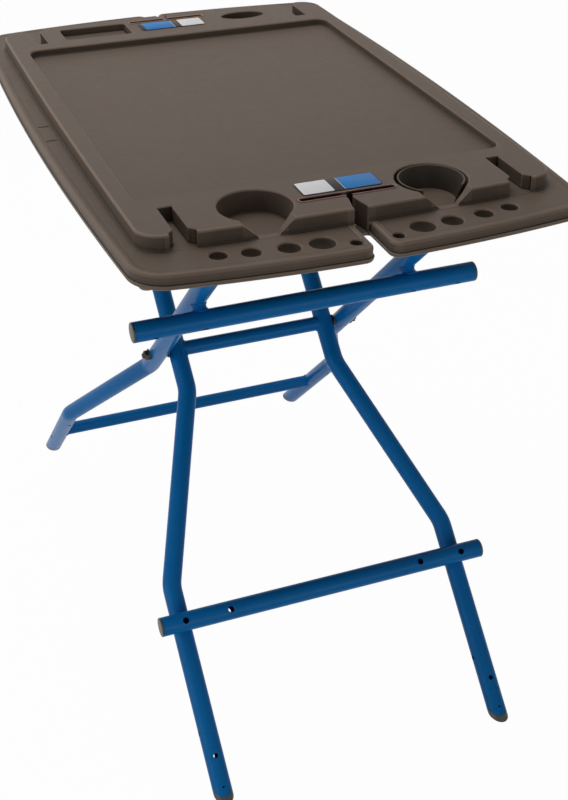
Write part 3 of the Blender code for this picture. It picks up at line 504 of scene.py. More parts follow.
def deck_plan(inset):
    """Outline of the raised deck."""
    return bowed_plan(deck_half, deck_bows, deck_corner, inset)


# Rim of the flange, as (inset, height): a lip round the lower edge, a narrow ledge above
# it, the skirt set in by 2 mm, the rolled upper edge and a low bead to the flat shelf
lip_round = 0.0045
roll = 0.0046
bead_rise = 0.0008
lower_sine, lower_cosine = quarter(5)
upper_sine, upper_cosine = quarter(7)
bead = np.linspace(0, 1, 6)[1:]
top_piece = solid("bench_top", stacked(flange_plan, [
    *zip(0.0005 + lip_round * (1 - lower_sine), underside + lip_round * (1 - lower_cosine)),
    (0.0000, flange_top - 0.0156), (0.0003, flange_top - 0.0150),
    (0.0009, flange_top - 0.0146), (0.0018, flange_top - 0.0141),
    (0.0022, flange_top - 0.0133), (0.0021, flange_top - 0.0090),
    *zip(0.0019 + roll * (1 - upper_cosine), flange_top + bead_rise - roll * (1 - upper_sine)),
    *zip(0.0079 + 0.0070 * bead, flange_top + bead_rise * np.cos(bead * math.pi / 2) ** 2)]))

# Wall of the deck: a hollow round at its foot, a leaning wall and a rounded upper edge
foot_round = 0.0045
edge_round = 0.0036
foot_sine, foot_cosine = quarter(6)
carve(top_piece, stacked(deck_plan, [
    (-0.0052, flange_top - 0.0030), (-0.0050, flange_top - 0.0001),
    *zip(-foot_round * (1 - foot_sine[1:]), flange_top + foot_round * (1 - foot_cosine[1:])),
    *zip(0.0006 + edge_round * (1 - foot_cosine), deck_height - edge_round * (1 - foot_sine))]),
      operation="UNION")
block_profile = [(0.0, underside + 0.002),
                 *zip(block_round * (1 - foot_cosine),
                      underside - block_depth - block_round * foot_sine)]
carve(top_piece, *[stacked(boxed(side * block_x, *block_rest), block_profile[::-1])
                   for side in (-1, 1)], operation="UNION")

# Hollows of the deck and holes of the flange, in three rounds, because some run into
# others: each has its floor, its upper edge and the rounds of both
first_cuts = [
    hollow(boxed(0, 0, *tray_half, tray_corner, 10), tray_floor, deck_height, 0.0045, 0.0026),
    hollow(boxed(*parts_tray), parts_floor, deck_height, 0.0030, 0.0016, 0.001),
    hollow(oval(*oval_well, 56), oval_floor, deck_height, 0.0022, 0.0016, 0.001)]
second_cuts = []
third_cuts = []
deck_end = deck_half[1]
flare = deck_end - 0.024
flare_half = tool_slot_half + tool_slot_flare
for end in (-1, 1):
    second_cuts += [
        hollow(boxed(0, end * tee_y[end], *tee_half, tee_corner), tee_floor, deck_height,
               0.001, 0.0006),
        prism(boxed(0, end * (deck_end + 0.017), notch_half, 0.015, notch_corner)(),
              underside - clear, deck_height + clear)]
    third_cuts.append(hollow(
        run_out(0, end, (channel_half, tee_y[end], 0.0005),
                (channel_half, tee_y[end] + 0.016, 0.004),
                (channel_mouth_half, deck_end - 0.006, 0.004),
                (channel_mouth_half, deck_end + 0.008, 0.001)),
        channel_floor, deck_height, 0.001, 0.0022))
    for side in (-1, 1):
        second_cuts.append(hollow(
            run_out(side * tool_slot_x, end, (tool_slot_half, tool_slot_inner, 0.0012),
                    (tool_slot_half, flare, 0.003),
                    (flare_half, flare + tool_slot_flare, 0.003),
                    (flare_half, deck_end + 0.02, 0.001)),
            flange_top + 0.0003, deck_height, 0.0012, 0.0014))
        first_cuts += [through(oval(side * x, end * y, radius, radius, 40), underside,
                               flange_top, 0.0012, 0.0026)
                       for x, y, radius in tool_hole_places]
        first_cuts.append(hollow(boxed(side * slit_x, end * slit_y, *slit_rest), slit_floor,
                                 flange_top, 0.0004, 0.0006))

# Each cup well opens to the near end by a mouth that widens upwards
share = np.linspace(0, 1, 5)
mouth_heights = [*(flange_top + 0.0003 + (deck_height - flange_top - 0.0023) * share),
                 deck_height - 0.0008, deck_height + clear]
mouth_halves = [*(mouth_half_floor + (mouth_half_top - mouth_half_floor) * share),
                mouth_half_top + 0.0018, mouth_half_top + 0.0036]
mouth_front = -deck_end - 0.008
for side in (-1, 1):
    second_cuts.append(hollow(oval(side * cup_x, cup_y, cup_radius, cup_radius, 96),
                              cup_floor, deck_height, 0.0035, 0.0026, 0.004))
    third_cuts.append(skin([
        level(boxed(side * cup_x, (mouth_front + cup_y) / 2, half, (cup_y - mouth_front) / 2,
                    0.0004)(), height)
        for half, height in zip(mouth_halves, mouth_heights)]))
for cuts in (first_cuts, second_cuts, third_cuts):
    carve(top_piece, *cuts)

# Hollows of the underside: square pockets that leave ribs under the tray, pockets at
# both ends, and one hollow round the flange with short ribs across it
rib = 0.004
pocket_counts = np.array([5, 6])
pocket_reach = tray_half - 0.012
pocket_size = (2 * pocket_reach - rib * (pocket_counts - 1)) / pocket_counts
pocket_places = [(*(-pocket_reach + pocket_size / 2 + np.array(place) * (pocket_size + rib)),
                  *(pocket_size / 2)) for place in np.ndindex(*pocket_counts)]
for end in (-1, 1):
    for side in (-1, 1):
        pocket_places += [
            (side * 0.034, end * (tray_half[1] + 0.033), 0.032, 0.029),
            (side * (deck_half[0] - 0.028), end * (tray_half[1] + 0.039), 0.015, 0.035)]
pocket_profile = [(0, underside - 0.002), (0.0006, tray_floor - 0.0055),
                  (0.0020, tray_floor - 0.004)]
carve(top_piece, *[stacked(boxed(*place, 0.003, 3), pocket_profile)
                   for place in pocket_places])
shelf_low = underside - 0.001
shelf_high = flange_top - 0.0045
shelf_span = (shelf_low - 0.001, shelf_high + 0.001)
rib_half = 0.00175
rib_reach = 0.7
sleeve_wall = 0.0025
shelf = solid("shelf_cutter", prism(flange_plan(0.005), shelf_low, shelf_high))
carve(shelf, prism(deck_plan(-0.003), *shelf_span))
for x, y, places in ((1, 0, (0.052, 0.096, 0.144, 0.191)), (0, 1, (0.075, 0.225, 0.375))):
    rib_size = (rib_half, rib_reach) if x else (rib_reach, rib_half)
    for place in places:
        carve(shelf, *[prism(boxed(side * place * x, side * place * y, *rib_size, 0.0, 2)(),
                             *shelf_span) for side in (-1, 1)])
carve(shelf, *[dowel(*shelf_span, radius + sleeve_wall,
                     np.array([side * x, end * y + table_y, 0.0]), upright, 40)
               for x, y, radius in tool_hole_places for side in (-1, 1) for end in (-1, 1)])
carve(top_piece, shelf)
soften(top_piece, 34)
top_piece.modifiers.new("even_shading", "WEIGHTED_NORMAL").keep_sharp = True


def mark_crests(item):
    """Writes how each face bends as a face attribute, from -1 in a crease to 1 on a crest.

    A face's bend is the sum over its edges of fold angle times half the edge's length,
    over its area, which is one over the radius on a rounded edge. A radius of 3 mm or
    less counts as fully bent.
    """
    builder = bmesh.new()
    builder.from_mesh(item.data)
    bends = []
    for face in builder.faces:
        fold = sum(edge.calc_face_angle_signed(0.0) * edge.calc_length() for edge in face.edges)
        bends.append(fold / 2 / max(face.calc_area(), 1e-9))
    builder.free()
    layer = item.data.attributes.new("crest", "FLOAT", "FACE")
    layer.data.foreach_set("value", np.clip(np.array(bends) * 0.003, -1, 1))


def scaled(color, share):
    """Colour with its three parts times a share."""
    return tuple(share * value for value in color[:3]) + (1,)


def moulded(name, low, high):
    """Satin moulded plastic: slow clouding of the colour, faint flow marks, paler crests as a
    painted highlight with some edge wear, darker creases as painted shade, a fine
    leather-like grain in the relief, and duller patches."""
    finish = Finish(name, "moulded_plastic")
    clouds = finish.noise(7.0, 3.0)
    flow = finish.noise(38.0)
    fine = finish.noise(1500.0, 2.0, 0.6)
    scuffs = finish.noise(95.0, 4.0, 0.65)
    tone = (clouds * 0.65 + flow * 0.35 + (fine - 0.5) * 0.25 - 0.18) * 1.5
    color = finish.mix(tone.clamp(), low, high)
    crest = finish.make("Attribute", {"attribute_name": "crest"}, output="Fac")
    # Painted light: crests turn paler, a painted highlight with some edge wear, and creases
    # darker, a painted shade.
    color = finish.mix((crest * 0.75).clamp(), color, scaled(high, 2.2))
    color = finish.mix((crest * -1.0).clamp(), color, scaled(low, 0.22))
    finish.shade(Base_Color=color, Roughness=scuffs * 0.18 + clouds * 0.10 + 0.36,
                 Specular_IOR_Level=0.12,
                 Normal=finish.bump(fine + scuffs * 0.25, 0.00006, 0.55))
    return finish


def fit_out(item, finish, body, *nodes):
    """Gives a piece its finish, its body and the frame nodes it stands for."""
    item.data.materials.clear()
    item.data.materials.append(finish.material)
    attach(item, body)
    if nodes:
        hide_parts(*nodes)


top_plastic = moulded("top_plastic", (0.119, 0.088, 0.066, 1), (0.150, 0.112, 0.086, 1))
mark_crests(top_piece)
fit_out(top_piece, top_plastic, "top", "worktop")

# Ring of the right cup well. An open hoop of the top's plastic, coloured darker as painted
# shade from the well, that leans out as it rises, with a rounded upper edge and its opening
# towards the near end.
ring_wall = 0.0026
ring_lean = 0.0085
ring_opening = math.radians(78.0)


def node_box(name):
    """Lowest corner, highest corner and half sizes of a CAD node's box."""
    low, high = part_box(name)
    return low, high, (np.array(high) - np.array(low)) / 2


low, high, half = node_box("cup_ring")
ring_turn = np.linspace(ring_opening / 2, 2 * math.pi - ring_opening / 2, 90) - math.pi / 2
ring_round = np.linspace(0, math.pi, 9)
ring_section = np.array([
    (-ring_lean, low.z), (-0.0004, high.z - 0.0022),
    *zip(-ring_wall / 2 + (ring_wall / 2) * np.cos(ring_round),
         high.z - 0.0013 + 0.0013 * np.sin(ring_round)),
    (-ring_wall - 0.0004, high.z - 0.0022), (-ring_lean - ring_wall, low.z)])
ring_reach = half[0] + ring_section[:, 0]
ring_piece = solid("bench_cup_ring", skin(np.stack([
    cup_x + ring_reach * np.cos(ring_turn)[:, None],
    cup_y + table_y + ring_reach * np.sin(ring_turn)[:, None],
    np.tile(ring_section[:, 1], (len(ring_turn), 1))], axis=2)))
# Painted shade: the top's plastic darkened to stand for the shade inside the cup well.
ring_shaded_plastic = moulded("ring_shaded_plastic", (0.040, 0.031, 0.024, 1), (0.062, 0.048, 0.037, 1))
mark_crests(ring_piece)
fit_out(ring_piece, ring_shaded_plastic, "top", "cup_ring")

# Liners of the two cross slots. Glossy dark red plastic trays, pressed into the slots, a
# little proud of the deck, with a rounded rim and a gap where the channel leaves. The rim's
# top carries a painted pinkish-brown highlight, and the far one a paler orange-brown painted
# light.
liner_wall = 0.0021
liner_gap = 0.0045
liner_corner = 0.0062
liner_round = 0.0006
liner = Finish("liner_plastic", "liner_plastic")
liner_flow = liner.noise(60.0, 3.0)
# Painted highlight: the colour turns to the rim's as the liner rises above the deck; on the far
# liner it is a paler orange-brown painted light.
liner_crown_highlight = ((liner.along(2) - deck_height + 0.0004) * 900.0).clamp()
liner_body = liner.mix(liner_flow, (0.020, 0.004, 0.003, 1), (0.045, 0.010, 0.007, 1))
liner_rim_highlight = liner.mix(liner.along(1) > table_y, (0.260, 0.105, 0.080, 1),
                      (0.400, 0.190, 0.070, 1))
liner.shade(Base_Color=liner.mix(liner_crown_highlight, liner_body, liner_rim_highlight),
            Roughness=liner_flow * 0.12 + 0.22, Specular_IOR_Level=0.35, Coat_Weight=0.10,
            Normal=liner.bump(liner.noise(500.0), 0.00008, 0.4))
crown = np.linspace(0, math.pi, 7)
for end, name in ((-1, "slot_liner_near"), (1, "slot_liner_far")):
    low, high, half = node_box(name)
    y = end * tee_y[end]
    piece = solid("bench_" + name, stacked(boxed(0, y, half[0], half[1], liner_corner, 9), [
        (liner_round, low.z), (0.0, low.z + liner_round),
        *zip(liner_wall / 2 * (1 - np.cos(crown)),
             high.z - liner_round + liner_round * np.sin(crown)),
        (liner_wall, low.z + liner_wall + liner_round),
        (liner_wall + liner_round, low.z + liner_wall)]))
    far = y + end * (half[1] + 0.003)
    carve(piece, prism(boxed(0, (y + far) / 2, liner_gap, abs(far - y) / 2, 0.0003)(),
                       low.z + liner_wall, high.z + 0.001))
    fit_out(soften(piece, 34), liner, "top", name)

# Panels beside the cross slots. Thin glossy plates with a dark border, a white field, a
# pale line and a blue field; what is printed on them is left off.
panel_corner = 0.006
field_round = 0.0030
panel_white = (0.97, 0.97, 0.97, 1)
panel_pale = (0.91, 0.92, 0.93, 1)
panel_blue = (0.002, 0.235, 0.640, 1)
panel_dusk = (0.025, 0.205, 0.560, 1)


def panel_finish(name, fields):
    """Plate finish: each field is (x, y, half x, half y, corner colours) on a dark plate.

    A point is inside a field where it lies less than the corner radius outside of the
    field shrunk by that radius; the edge is blurred over 0.3 mm like ink.
    """
    finish = Finish(name, "panel_plastic")
    x = finish.along(0)
    y = finish.along(1)
    mottle = finish.noise(45.0, 3.0)
    color = finish.mix(mottle, (0.020, 0.014, 0.014, 1), (0.040, 0.028, 0.026, 1))
    for middle_x, middle_y, half_x, half_y, low, high in fields:
        corner = min(field_round, half_x)
        off_x = (abs(x - middle_x) - (half_x - corner)).math("MAXIMUM", 0.0)
        off_y = (abs(y - (middle_y + table_y)) - (half_y - corner)).math("MAXIMUM", 0.0)
        away = (off_x * off_x + off_y * off_y).math("SQRT") - corner
        inside = (away * -3300.0 + 0.5).clamp()
        slope = ((x - middle_x) / (2 * half_x) + (mottle - 0.5) * 0.15 + 0.5).clamp()
        color = finish.mix(inside, color, finish.mix(slope, low, high))
    speckle = finish.noise(900.0)
    finish.shade(Base_Color=color, Roughness=speckle * 0.10 + mottle * 0.08 + 0.34,
                 Specular_IOR_Level=0.12, Normal=finish.bump(speckle, 0.00003, 0.4))
    return finish


for name, blue_x, white_x in (("panel_near", 0.0310, -0.0355), ("panel_far", -0.0252, 0.0390)):
    low, high, half = node_box(name)
    y = (low.y + high.y) / 2 - table_y
    line_x = blue_x + math.copysign(0.0280, white_x)
    fields = [(white_x, y, 0.0230, half[1] - 0.0012, panel_white, panel_pale),
              (blue_x, y, 0.0270, half[1] - 0.0008, panel_blue, panel_dusk),
              (line_x, y, 0.0004, half[1] - 0.0008, panel_pale, panel_white)]
    plate = solid("bench_" + name, stacked(boxed(0, y, half[0], half[1], panel_corner, 9), [
        (0.0, low.z), (0.0, high.z - 0.0003), (0.0001, high.z - 0.0001), (0.0003, high.z)]))
    fit_out(plate, panel_finish(name + "_plate", fields), "top", name)


# Frames. Steel tube of 31.75 mm, bent cold to wide arcs, its ends cut level at the floor,
# with holes drilled through both walls. One blue powder coat covers tubes and welds.
def middle_of(name):
    """Middle of a CAD node's box."""
    return np.array(sum(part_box(name), Vector())) / 2


pivot = middle_of("pivot_rod")
hinge = middle_of("hinge_pin_left") * (0, 1, 1)
front_bar = middle_of("front_crossbar")
top_bar = middle_of("top_crossbar")
rear_bar = middle_of("rear_crossbar")
front_bar_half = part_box("front_crossbar")[1].x
top_bar_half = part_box("top_crossbar")[1].x
lean = math.radians(46.65)
sine, cosine = math.sin(lean), math.cos(lean)
front_up = np.array([0.0, sine, cosine])
rear_up = np.array([0.0, -sine, cosine])
front_face = np.array([0.0, -cosine, sine])
rear_under = np.array([0.0, -cosine, -sine])
tube_radius = 0.015875
tube_wall = 0.0015
bar_radius = 0.0127
seat_gap = 0.0003
fit = tube_radius + seat_gap
bar_offset = 2 * tube_radius + seat_gap
lug_radius = 0.01125
lug_reach = bar_offset + 0.005
frame_gap = 0.0027
frame_step = 2 * tube_radius + frame_gap
front_half_top = 0.139
front_half_foot = 0.250
rear_half_top = front_half_top + frame_step
rear_half_foot = front_half_foot + frame_step
bend_upper = 0.076
bend_lower = 0.400
bend_radius = 0.070
foot_level = 0.0083
foot_along = pivot[2] / cosine
hinge_along = (hinge[2] - pivot[2]) / cosine
rear_leg_above = (underside - 0.0355 - pivot[2]) / cosine
drill_reach = 0.03
front_rod_hole = 0.0053
rear_rod_hole = 0.0051
leg_pin_hole = 0.0041
bolt_hole = 0.0040
rivet_hole = 0.00175
bar_hole = 0.00525
bar_hole_places = (0.172, 0.250)
cope_short = 0.006
weld_radius = 0.0019
both_sides = ((-1, "left"), (1, "right"))


def bent(corners, radius, steps=18):
    """Centre line through corners, each rounded by an arc that is tangent to both legs."""
    line = [corners[0][None]]
    for before, corner, after in zip(corners, corners[1:], corners[2:]):
        back = unit(before - corner)
        ahead = unit(after - corner)
        half = math.acos(back @ ahead) / 2
        centre = corner + unit(back + ahead) * radius / math.sin(half)
        first = unit(corner + back * radius / math.tan(half) - centre)
        turn = np.linspace(0, math.pi - 2 * half, steps)[:, None]
        line.append(centre + radius * (np.cos(turn) * first - np.sin(turn) * back))
    line.append(corners[-1][None])
    return np.concatenate(line)


def tube_skin(path, outer, foot=None, sides=48):
    """Skin of a tube: rings out along the outer wall and back along the inner one.

    Each ring stands square to the path. The first can be slid along it to a level."""
    ahead = np.gradient(path, axis=0)
    ahead /= np.linalg.norm(ahead, axis=1)[:, None]
    ahead[0] = unit(path[1] - path[0])
    ahead[-1] = unit(path[-1] - path[-2])
    side = np.cross(ahead[0], across)
    if np.linalg.norm(side) < 0.1:
        side = np.array([0.0, 1.0, 0.0])
    side = unit(side)
    turn = np.arange(sides) * 2 * math.pi / sides
    third = np.cross(ahead, side)
    ring = (np.cos(turn)[None, :, None] * side
            + np.sin(turn)[None, :, None] * third[:, None, :])
    shells = []
    for radius in (outer, outer - tube_wall):
        shell = path[:, None, :] + radius * ring
        if foot is not None:
            shell[0] += ahead[0] * ((foot - shell[0, :, 2]) / ahead[0, 2])[:, None]
        shells.append(shell)
    return skin(np.concatenate([shells[0], shells[1][::-1]]), closed=True)


def leg_skin(side, half_top, half_foot, up, above):
    """Skin of one bent leg, cut level above its foot plug."""
    places = ((half_foot, -foot_along), (half_foot, -bend_lower), (half_top, -bend_upper),
              (half_top, above))
    corners = [pivot + up * along + across * side * x for x, along in places]
    return tube_skin(bent(corners, bend_radius), tube_radius, foot_level)


def leg_point(side, half, up, height):
    """Point on the centre line of a leg's lower straight at a height."""
    return pivot + up * ((height - pivot[2]) / cosine) + across * side * half


def hole(centre, direction, radius, start=-drill_reach):
    """Drill through both walls at a centre, or through one where it starts at 0."""
    return dowel(start, drill_reach, radius, centre, direction)


def drilled(item, *bits):
    """A piece with holes cut by some skins, shaded anew."""
    carve(item, *bits)
    return soften(item)


def weld_skin(curve, ripples):
    """Skin of a weld bead round a closed curve, thicker at each step of the torch."""
    ahead = np.roll(curve, -1, axis=0) - np.roll(curve, 1, axis=0)
    ahead /= np.linalg.norm(ahead, axis=1)[:, None]
    out = curve - curve.mean(axis=0)
    out -= (out * ahead).sum(axis=1)[:, None] * ahead
    out /= np.linalg.norm(out, axis=1)[:, None]
    third = np.cross(ahead, out)
    share = np.arange(len(curve)) / len(curve)
    size = weld_radius * (0.88 + 0.12 * np.abs(np.sin(math.pi * ripples * share)))
    turn = np.arange(10) * 2 * math.pi / 10
    rings = curve[:, None] + size[:, None, None] * (
        np.cos(turn)[None, :, None] * out[:, None] + np.sin(turn)[None, :, None] * third[:, None])
    return skin(rings, closed=True)


weld_turn = np.arange(72) * 2 * math.pi / 72


def saddle_weld(origin, way, seat, radius):
    """Weld where a round piece of a radius stands on the side of a tube.

    The seat is the tube's direction, the origin is on its axis, and the piece stands out
    along the way. Round the piece, a point at w to the side of the tube's axis lies
    sqrt(R squared - w squared) out from it.
    """
    square = np.cross(way, seat)
    point = radius * (np.cos(weld_turn)[:, None] * seat + np.sin(weld_turn)[:, None] * square)
    away = np.sqrt(tube_radius ** 2 - (point @ square) ** 2)
    return weld_skin(origin + point + away[:, None] * way, 26)


def lap_weld(contact, up, facing, reach=0.0085):
    """Weld round the place where a crossbar lies against a leg.

    At a distance q from the contact, the gap between two equal tubes that cross at a
    right angle is q squared over their diameter, the same all round.
    """
    lift = (np.sin(weld_turn) ** 2 - np.cos(weld_turn) ** 2) * reach ** 2 / (4 * tube_radius)
    curve = contact + reach * (np.cos(weld_turn)[:, None] * across
                               + np.sin(weld_turn)[:, None] * up)
    return weld_skin(curve + lift[:, None] * facing, 18)


coat = Finish("blue_powder_coat", "blue_steel")
coat_peel = coat.noise(420.0, 2.0, 0.55)
coat_cloud = coat.noise(9.0, 3.0)
coat_specks = coat.noise(160.0, 5.0, 0.7)
coat_low = ((0.14 - coat.along(2)) * 6.0).clamp()
coat_dust = ((coat_specks - 0.56) * 9.0).clamp() * (coat_low * 0.5 + 0.12)
coat_color = coat.mix(coat_cloud, (0.0032, 0.168, 0.500, 1), (0.0048, 0.220, 0.620, 1))
coat_color = coat.mix(coat_dust, coat_color, (0.10, 0.17, 0.26, 1))
coat.shade(Base_Color=coat_color, Roughness=coat_specks * 0.16 + coat_dust * 0.3 + 0.24,
           Specular_IOR_Level=0.07, Coat_Weight=0.03, Coat_Roughness=0.12,
           Normal=coat.bump(coat_peel + coat_specks * 0.3, 0.00012, 0.35))

for side, word in both_sides:
    leg = solid("bench_front_leg_" + word, leg_skin(side, front_half_top, front_half_foot,
                                                    front_up, hinge_along + 0.010))
    drilled(leg, hole(pivot + across * side * front_half_top, across, front_rod_hole),
            hole(hinge + across * side * front_half_top, across, leg_pin_hole),
            hole(leg_point(side, front_half_foot, front_up, 0.0420), front_face, bolt_hole),
            hole(leg_point(side, front_half_foot, front_up, 0.0694), across, bolt_hole),
            hole(leg_point(side, front_half_foot, front_up, 0.0075), front_face, rivet_hole))
    fit_out(leg, coat, "front_frame", "front_leg_" + word)
    leg = solid("bench_rear_leg_" + word, leg_skin(side, rear_half_top, rear_half_foot,
                                                   rear_up, rear_leg_above))
    drilled(leg, hole(pivot + across * side * rear_half_top, across, rear_rod_hole),
            hole(leg_point(side, rear_half_foot, rear_up, 0.2030), rear_under, bolt_hole),
            hole(leg_point(side, rear_half_foot, rear_up, 0.0820), across, bolt_hole))
    fit_out(leg, coat, "rear_frame", "rear_leg_" + word)

# Crossbars: those that lie against the legs are drilled, in one wall only where a hole
# lies over a leg, and those in the legs' plane have their ends coped to the legs
for name, body, centre, half, radius, leg_half, face, up in (
        ("front_crossbar", "front_frame", front_bar, front_bar_half, tube_radius,
         front_half_foot, front_face, None),
        ("top_crossbar", "rear_frame", top_bar, top_bar_half, tube_radius, rear_half_top,
         rear_under, None),
        ("front_spreader", "front_frame", pivot, front_half_top - cope_short, bar_radius,
         front_half_top, None, front_up),
        ("rear_crossbar", "rear_frame", rear_bar, rear_half_foot - cope_short, bar_radius,
         rear_half_foot, None, rear_up)):
    path = centre + across * np.linspace(-half, half, 9)[:, None]
    if up is None:
        bits = [hole(centre + across * side * x, face, bar_hole,
                     0.0 if abs(x - leg_half) < tube_radius else -drill_reach)
                for side in (-1, 1) for x in bar_hole_places]
    else:
        bits = [dowel(-0.05, 0.05, fit, centre + across * side * leg_half, up, 64)
                for side in (-1, 1)]
    fit_out(drilled(solid("bench_" + name, tube_skin(path, radius)), *bits), coat, body, name)

front_welds = []
rear_welds = []
for side in (-1, 1):
    inward = across * -side
    front_welds += [
        saddle_weld(pivot - inward * front_half_top, inward, front_up, bar_radius),
        lap_weld(front_bar - inward * front_half_foot - front_face * bar_offset / 2, front_up,
                 front_face)]
    place = top_bar - inward * rear_half_top
    rear_welds += [
        saddle_weld(rear_bar - inward * rear_half_foot, inward, rear_up, bar_radius),
        saddle_weld(place, -rear_under, across, lug_radius),
        saddle_weld(place - rear_under * lug_reach, rear_under, rear_up, lug_radius)]
fit_out(solid("bench_front_welds", *front_welds), coat, "front_frame")
fit_out(solid("bench_rear_welds", *rear_welds), coat, "rear_frame")

# Lugs of the top crossbar. Two short round posts of the same blue steel that hold the bar
# off the legs, coped to the round of both tubes.
for side, word in both_sides:
    bar_at_lug = top_bar + across * side * rear_half_top
    leg_at_lug = bar_at_lug - rear_under * lug_reach
    lug = solid("bench_crossbar_lug_" + word,
                dowel(0, lug_reach, lug_radius, leg_at_lug, rear_under, 48))
    carve(lug, dowel(-0.05, 0.05, fit, bar_at_lug, across, 48))
    drilled(lug, dowel(-0.05, 0.05, fit, leg_at_lug, rear_up, 48))
    fit_out(lug, coat, "rear_frame", "crossbar_lug_" + word)

# Plugs of the crossbars and the legs' feet. Dark satin plastic with slow clouding, pale
# scuffs and a fine grain: a domed disc over the tube's end with a stem in its bore, and a
# level pad under each leg.
dark = Finish("plug_plastic", "dark_plastic")
dark_low, dark_high = (0.030, 0.026, 0.021, 1), (0.062, 0.056, 0.045, 1)
dark_clouds = dark.noise(30.0, 3.0)
dark_scuffs = ((dark.noise(260.0, 5.0, 0.7) - 0.55) * 7.0).clamp()
dark_color = dark.mix(dark_scuffs * 0.5, dark.mix(dark_clouds, dark_low, dark_high),
                      scaled(dark_high, 2.6))
dark.shade(Base_Color=dark_color, Roughness=dark_scuffs * 0.2 + dark_clouds * 0.1 + 0.34,
           Normal=dark.bump(dark.noise(1200.0) + dark_scuffs * 0.5, 0.00008, 0.5))
plug_bore = (tube_radius - tube_wall) * math.cos(math.pi / 12) - seat_gap
dome_sine, dome_cosine = quarter(7)
for bar, centre, half, body in (("front_crossbar", front_bar, front_bar_half, "front_frame"),
                                ("top_crossbar", top_bar, top_bar_half, "rear_frame")):
    profile = [(half - 0.016, plug_bore - 0.0008), (half - 0.0145, plug_bore),
               (half + seat_gap, plug_bore), (half + seat_gap, tube_radius - 0.0003),
               (half + seat_gap + 0.0003, tube_radius),
               *zip(half + 0.0022 + 0.0013 * dome_sine,
                    tube_radius - 0.0014 * (1 - dome_cosine)),
               (half + 0.0037, tube_radius - 0.0030), (half + 0.0039, 0.007),
               (half + 0.0040, 0.0005)]
    for side, word in both_sides:
        name = f"{bar}_plug_{word}"
        plug = solid("bench_" + name, turned(profile, centre, across * side, 56))
        fit_out(plug, dark, body, name)


def foot_skin(side, half, up):
    """Pad under a leg: the leg's round section slid along the leg to each level."""
    rings = []
    turn = np.arange(48) * 2 * math.pi / 48
    square = np.cross(across, up)
    for inset, height in ((0.0004, 0.0), (0.0, 0.0004), (0.0, 0.0073), (0.0004, 0.0080)):
        ring = (tube_radius - inset) * (np.cos(turn)[:, None] * square
                                        + np.sin(turn)[:, None] * across)
        ring = pivot - up * foot_along + across * side * half + ring
        rings.append(ring + up * ((height - ring[:, 2:]) / up[2]))
    return skin(rings)


for side, word in both_sides:
    for which, half, up in (("front", front_half_foot, front_up),
                            ("rear", rear_half_foot, rear_up)):
        name = f"{which}_foot_{word}"
        foot = solid("bench_" + name, foot_skin(side, half, up))
        fit_out(foot, dark, which + "_frame", name)

# Pivot. A blackened steel rod through both frames, threaded at its ends, with a spacer
# between the legs and a washer and a nut outside them. Its oxide is uneven, with small
# bright rubs and fine scratches.
spacer_start = front_half_top + fit
washer_start = rear_half_top + fit
washer_thickness = 0.0016
washer_radius = 0.011
nut_start = washer_start + washer_thickness + seat_gap
nut_stop = nut_start + 0.008
nut_corner = 0.017 / 2 / math.cos(math.pi / 6)
ring_bore = 0.0053
ring_soft = 0.0003
thread_pitch = 0.0015
thread_length = 0.016
thread_crest = 0.0050
thread_depth = 0.0006
tip_length = 0.0006
tip_radius = 0.0039
steel = Finish("black_steel", "black_steel")
steel_clouds = steel.noise(120.0, 4.0, 0.6)
steel_rubs = ((steel.noise(420.0, 5.0, 0.7) - 0.54) * 8.0).clamp()
steel_color = steel.mix(steel_clouds, (0.030, 0.028, 0.025, 1), (0.075, 0.068, 0.058, 1))
steel_color = steel.mix(steel_rubs * 0.6, steel_color, (0.28, 0.26, 0.23, 1))
steel.shade(Base_Color=steel_color, Metallic=steel_rubs * 0.3 + 0.6,
            Roughness=steel_clouds * 0.2 + 0.26,
            Normal=steel.bump(steel.noise(2200.0, 3.0, 0.7) + steel_clouds, 0.00004, 0.5))

# The thread's radius falls and rises once a pitch, and its phase turns with the angle
low, high, half = node_box("pivot_rod")
thread = np.arange(0, thread_length, thread_pitch / 8)
thread_turn = np.arange(32) / 32
thread_wave = np.abs(((thread[:, None] / thread_pitch - thread_turn[None, :]) % 1.0) - 0.5) * 2
rod_turn = thread_turn * 2 * math.pi
rod_rings = []
for side in (-1, 1):
    rows = [(side * half[0], np.full(32, tip_radius)),
            *zip(side * (half[0] - tip_length - thread),
                 thread_crest - thread_depth * thread_wave)]
    rod_rings += rows[::-side]
rod = skin([pivot + np.stack([np.full(32, x), radius * np.cos(rod_turn),
                              radius * np.sin(rod_turn)], axis=1) for x, radius in rod_rings])
fit_out(solid("bench_pivot_rod", rod), steel, "front_frame", "pivot_rod")
nut_cone = [(nut_start - 0.0001, nut_corner - 0.0012), (nut_start + 0.0008, nut_corner + 0.0002),
            (nut_stop - 0.0022, nut_corner + 0.0002), (nut_stop - 0.0013, nut_corner - 0.0012),
            (nut_stop - 0.0012, 0.0072), (nut_stop - 0.0003, 0.0068),
            (nut_stop + 0.0001, 0.0060)]
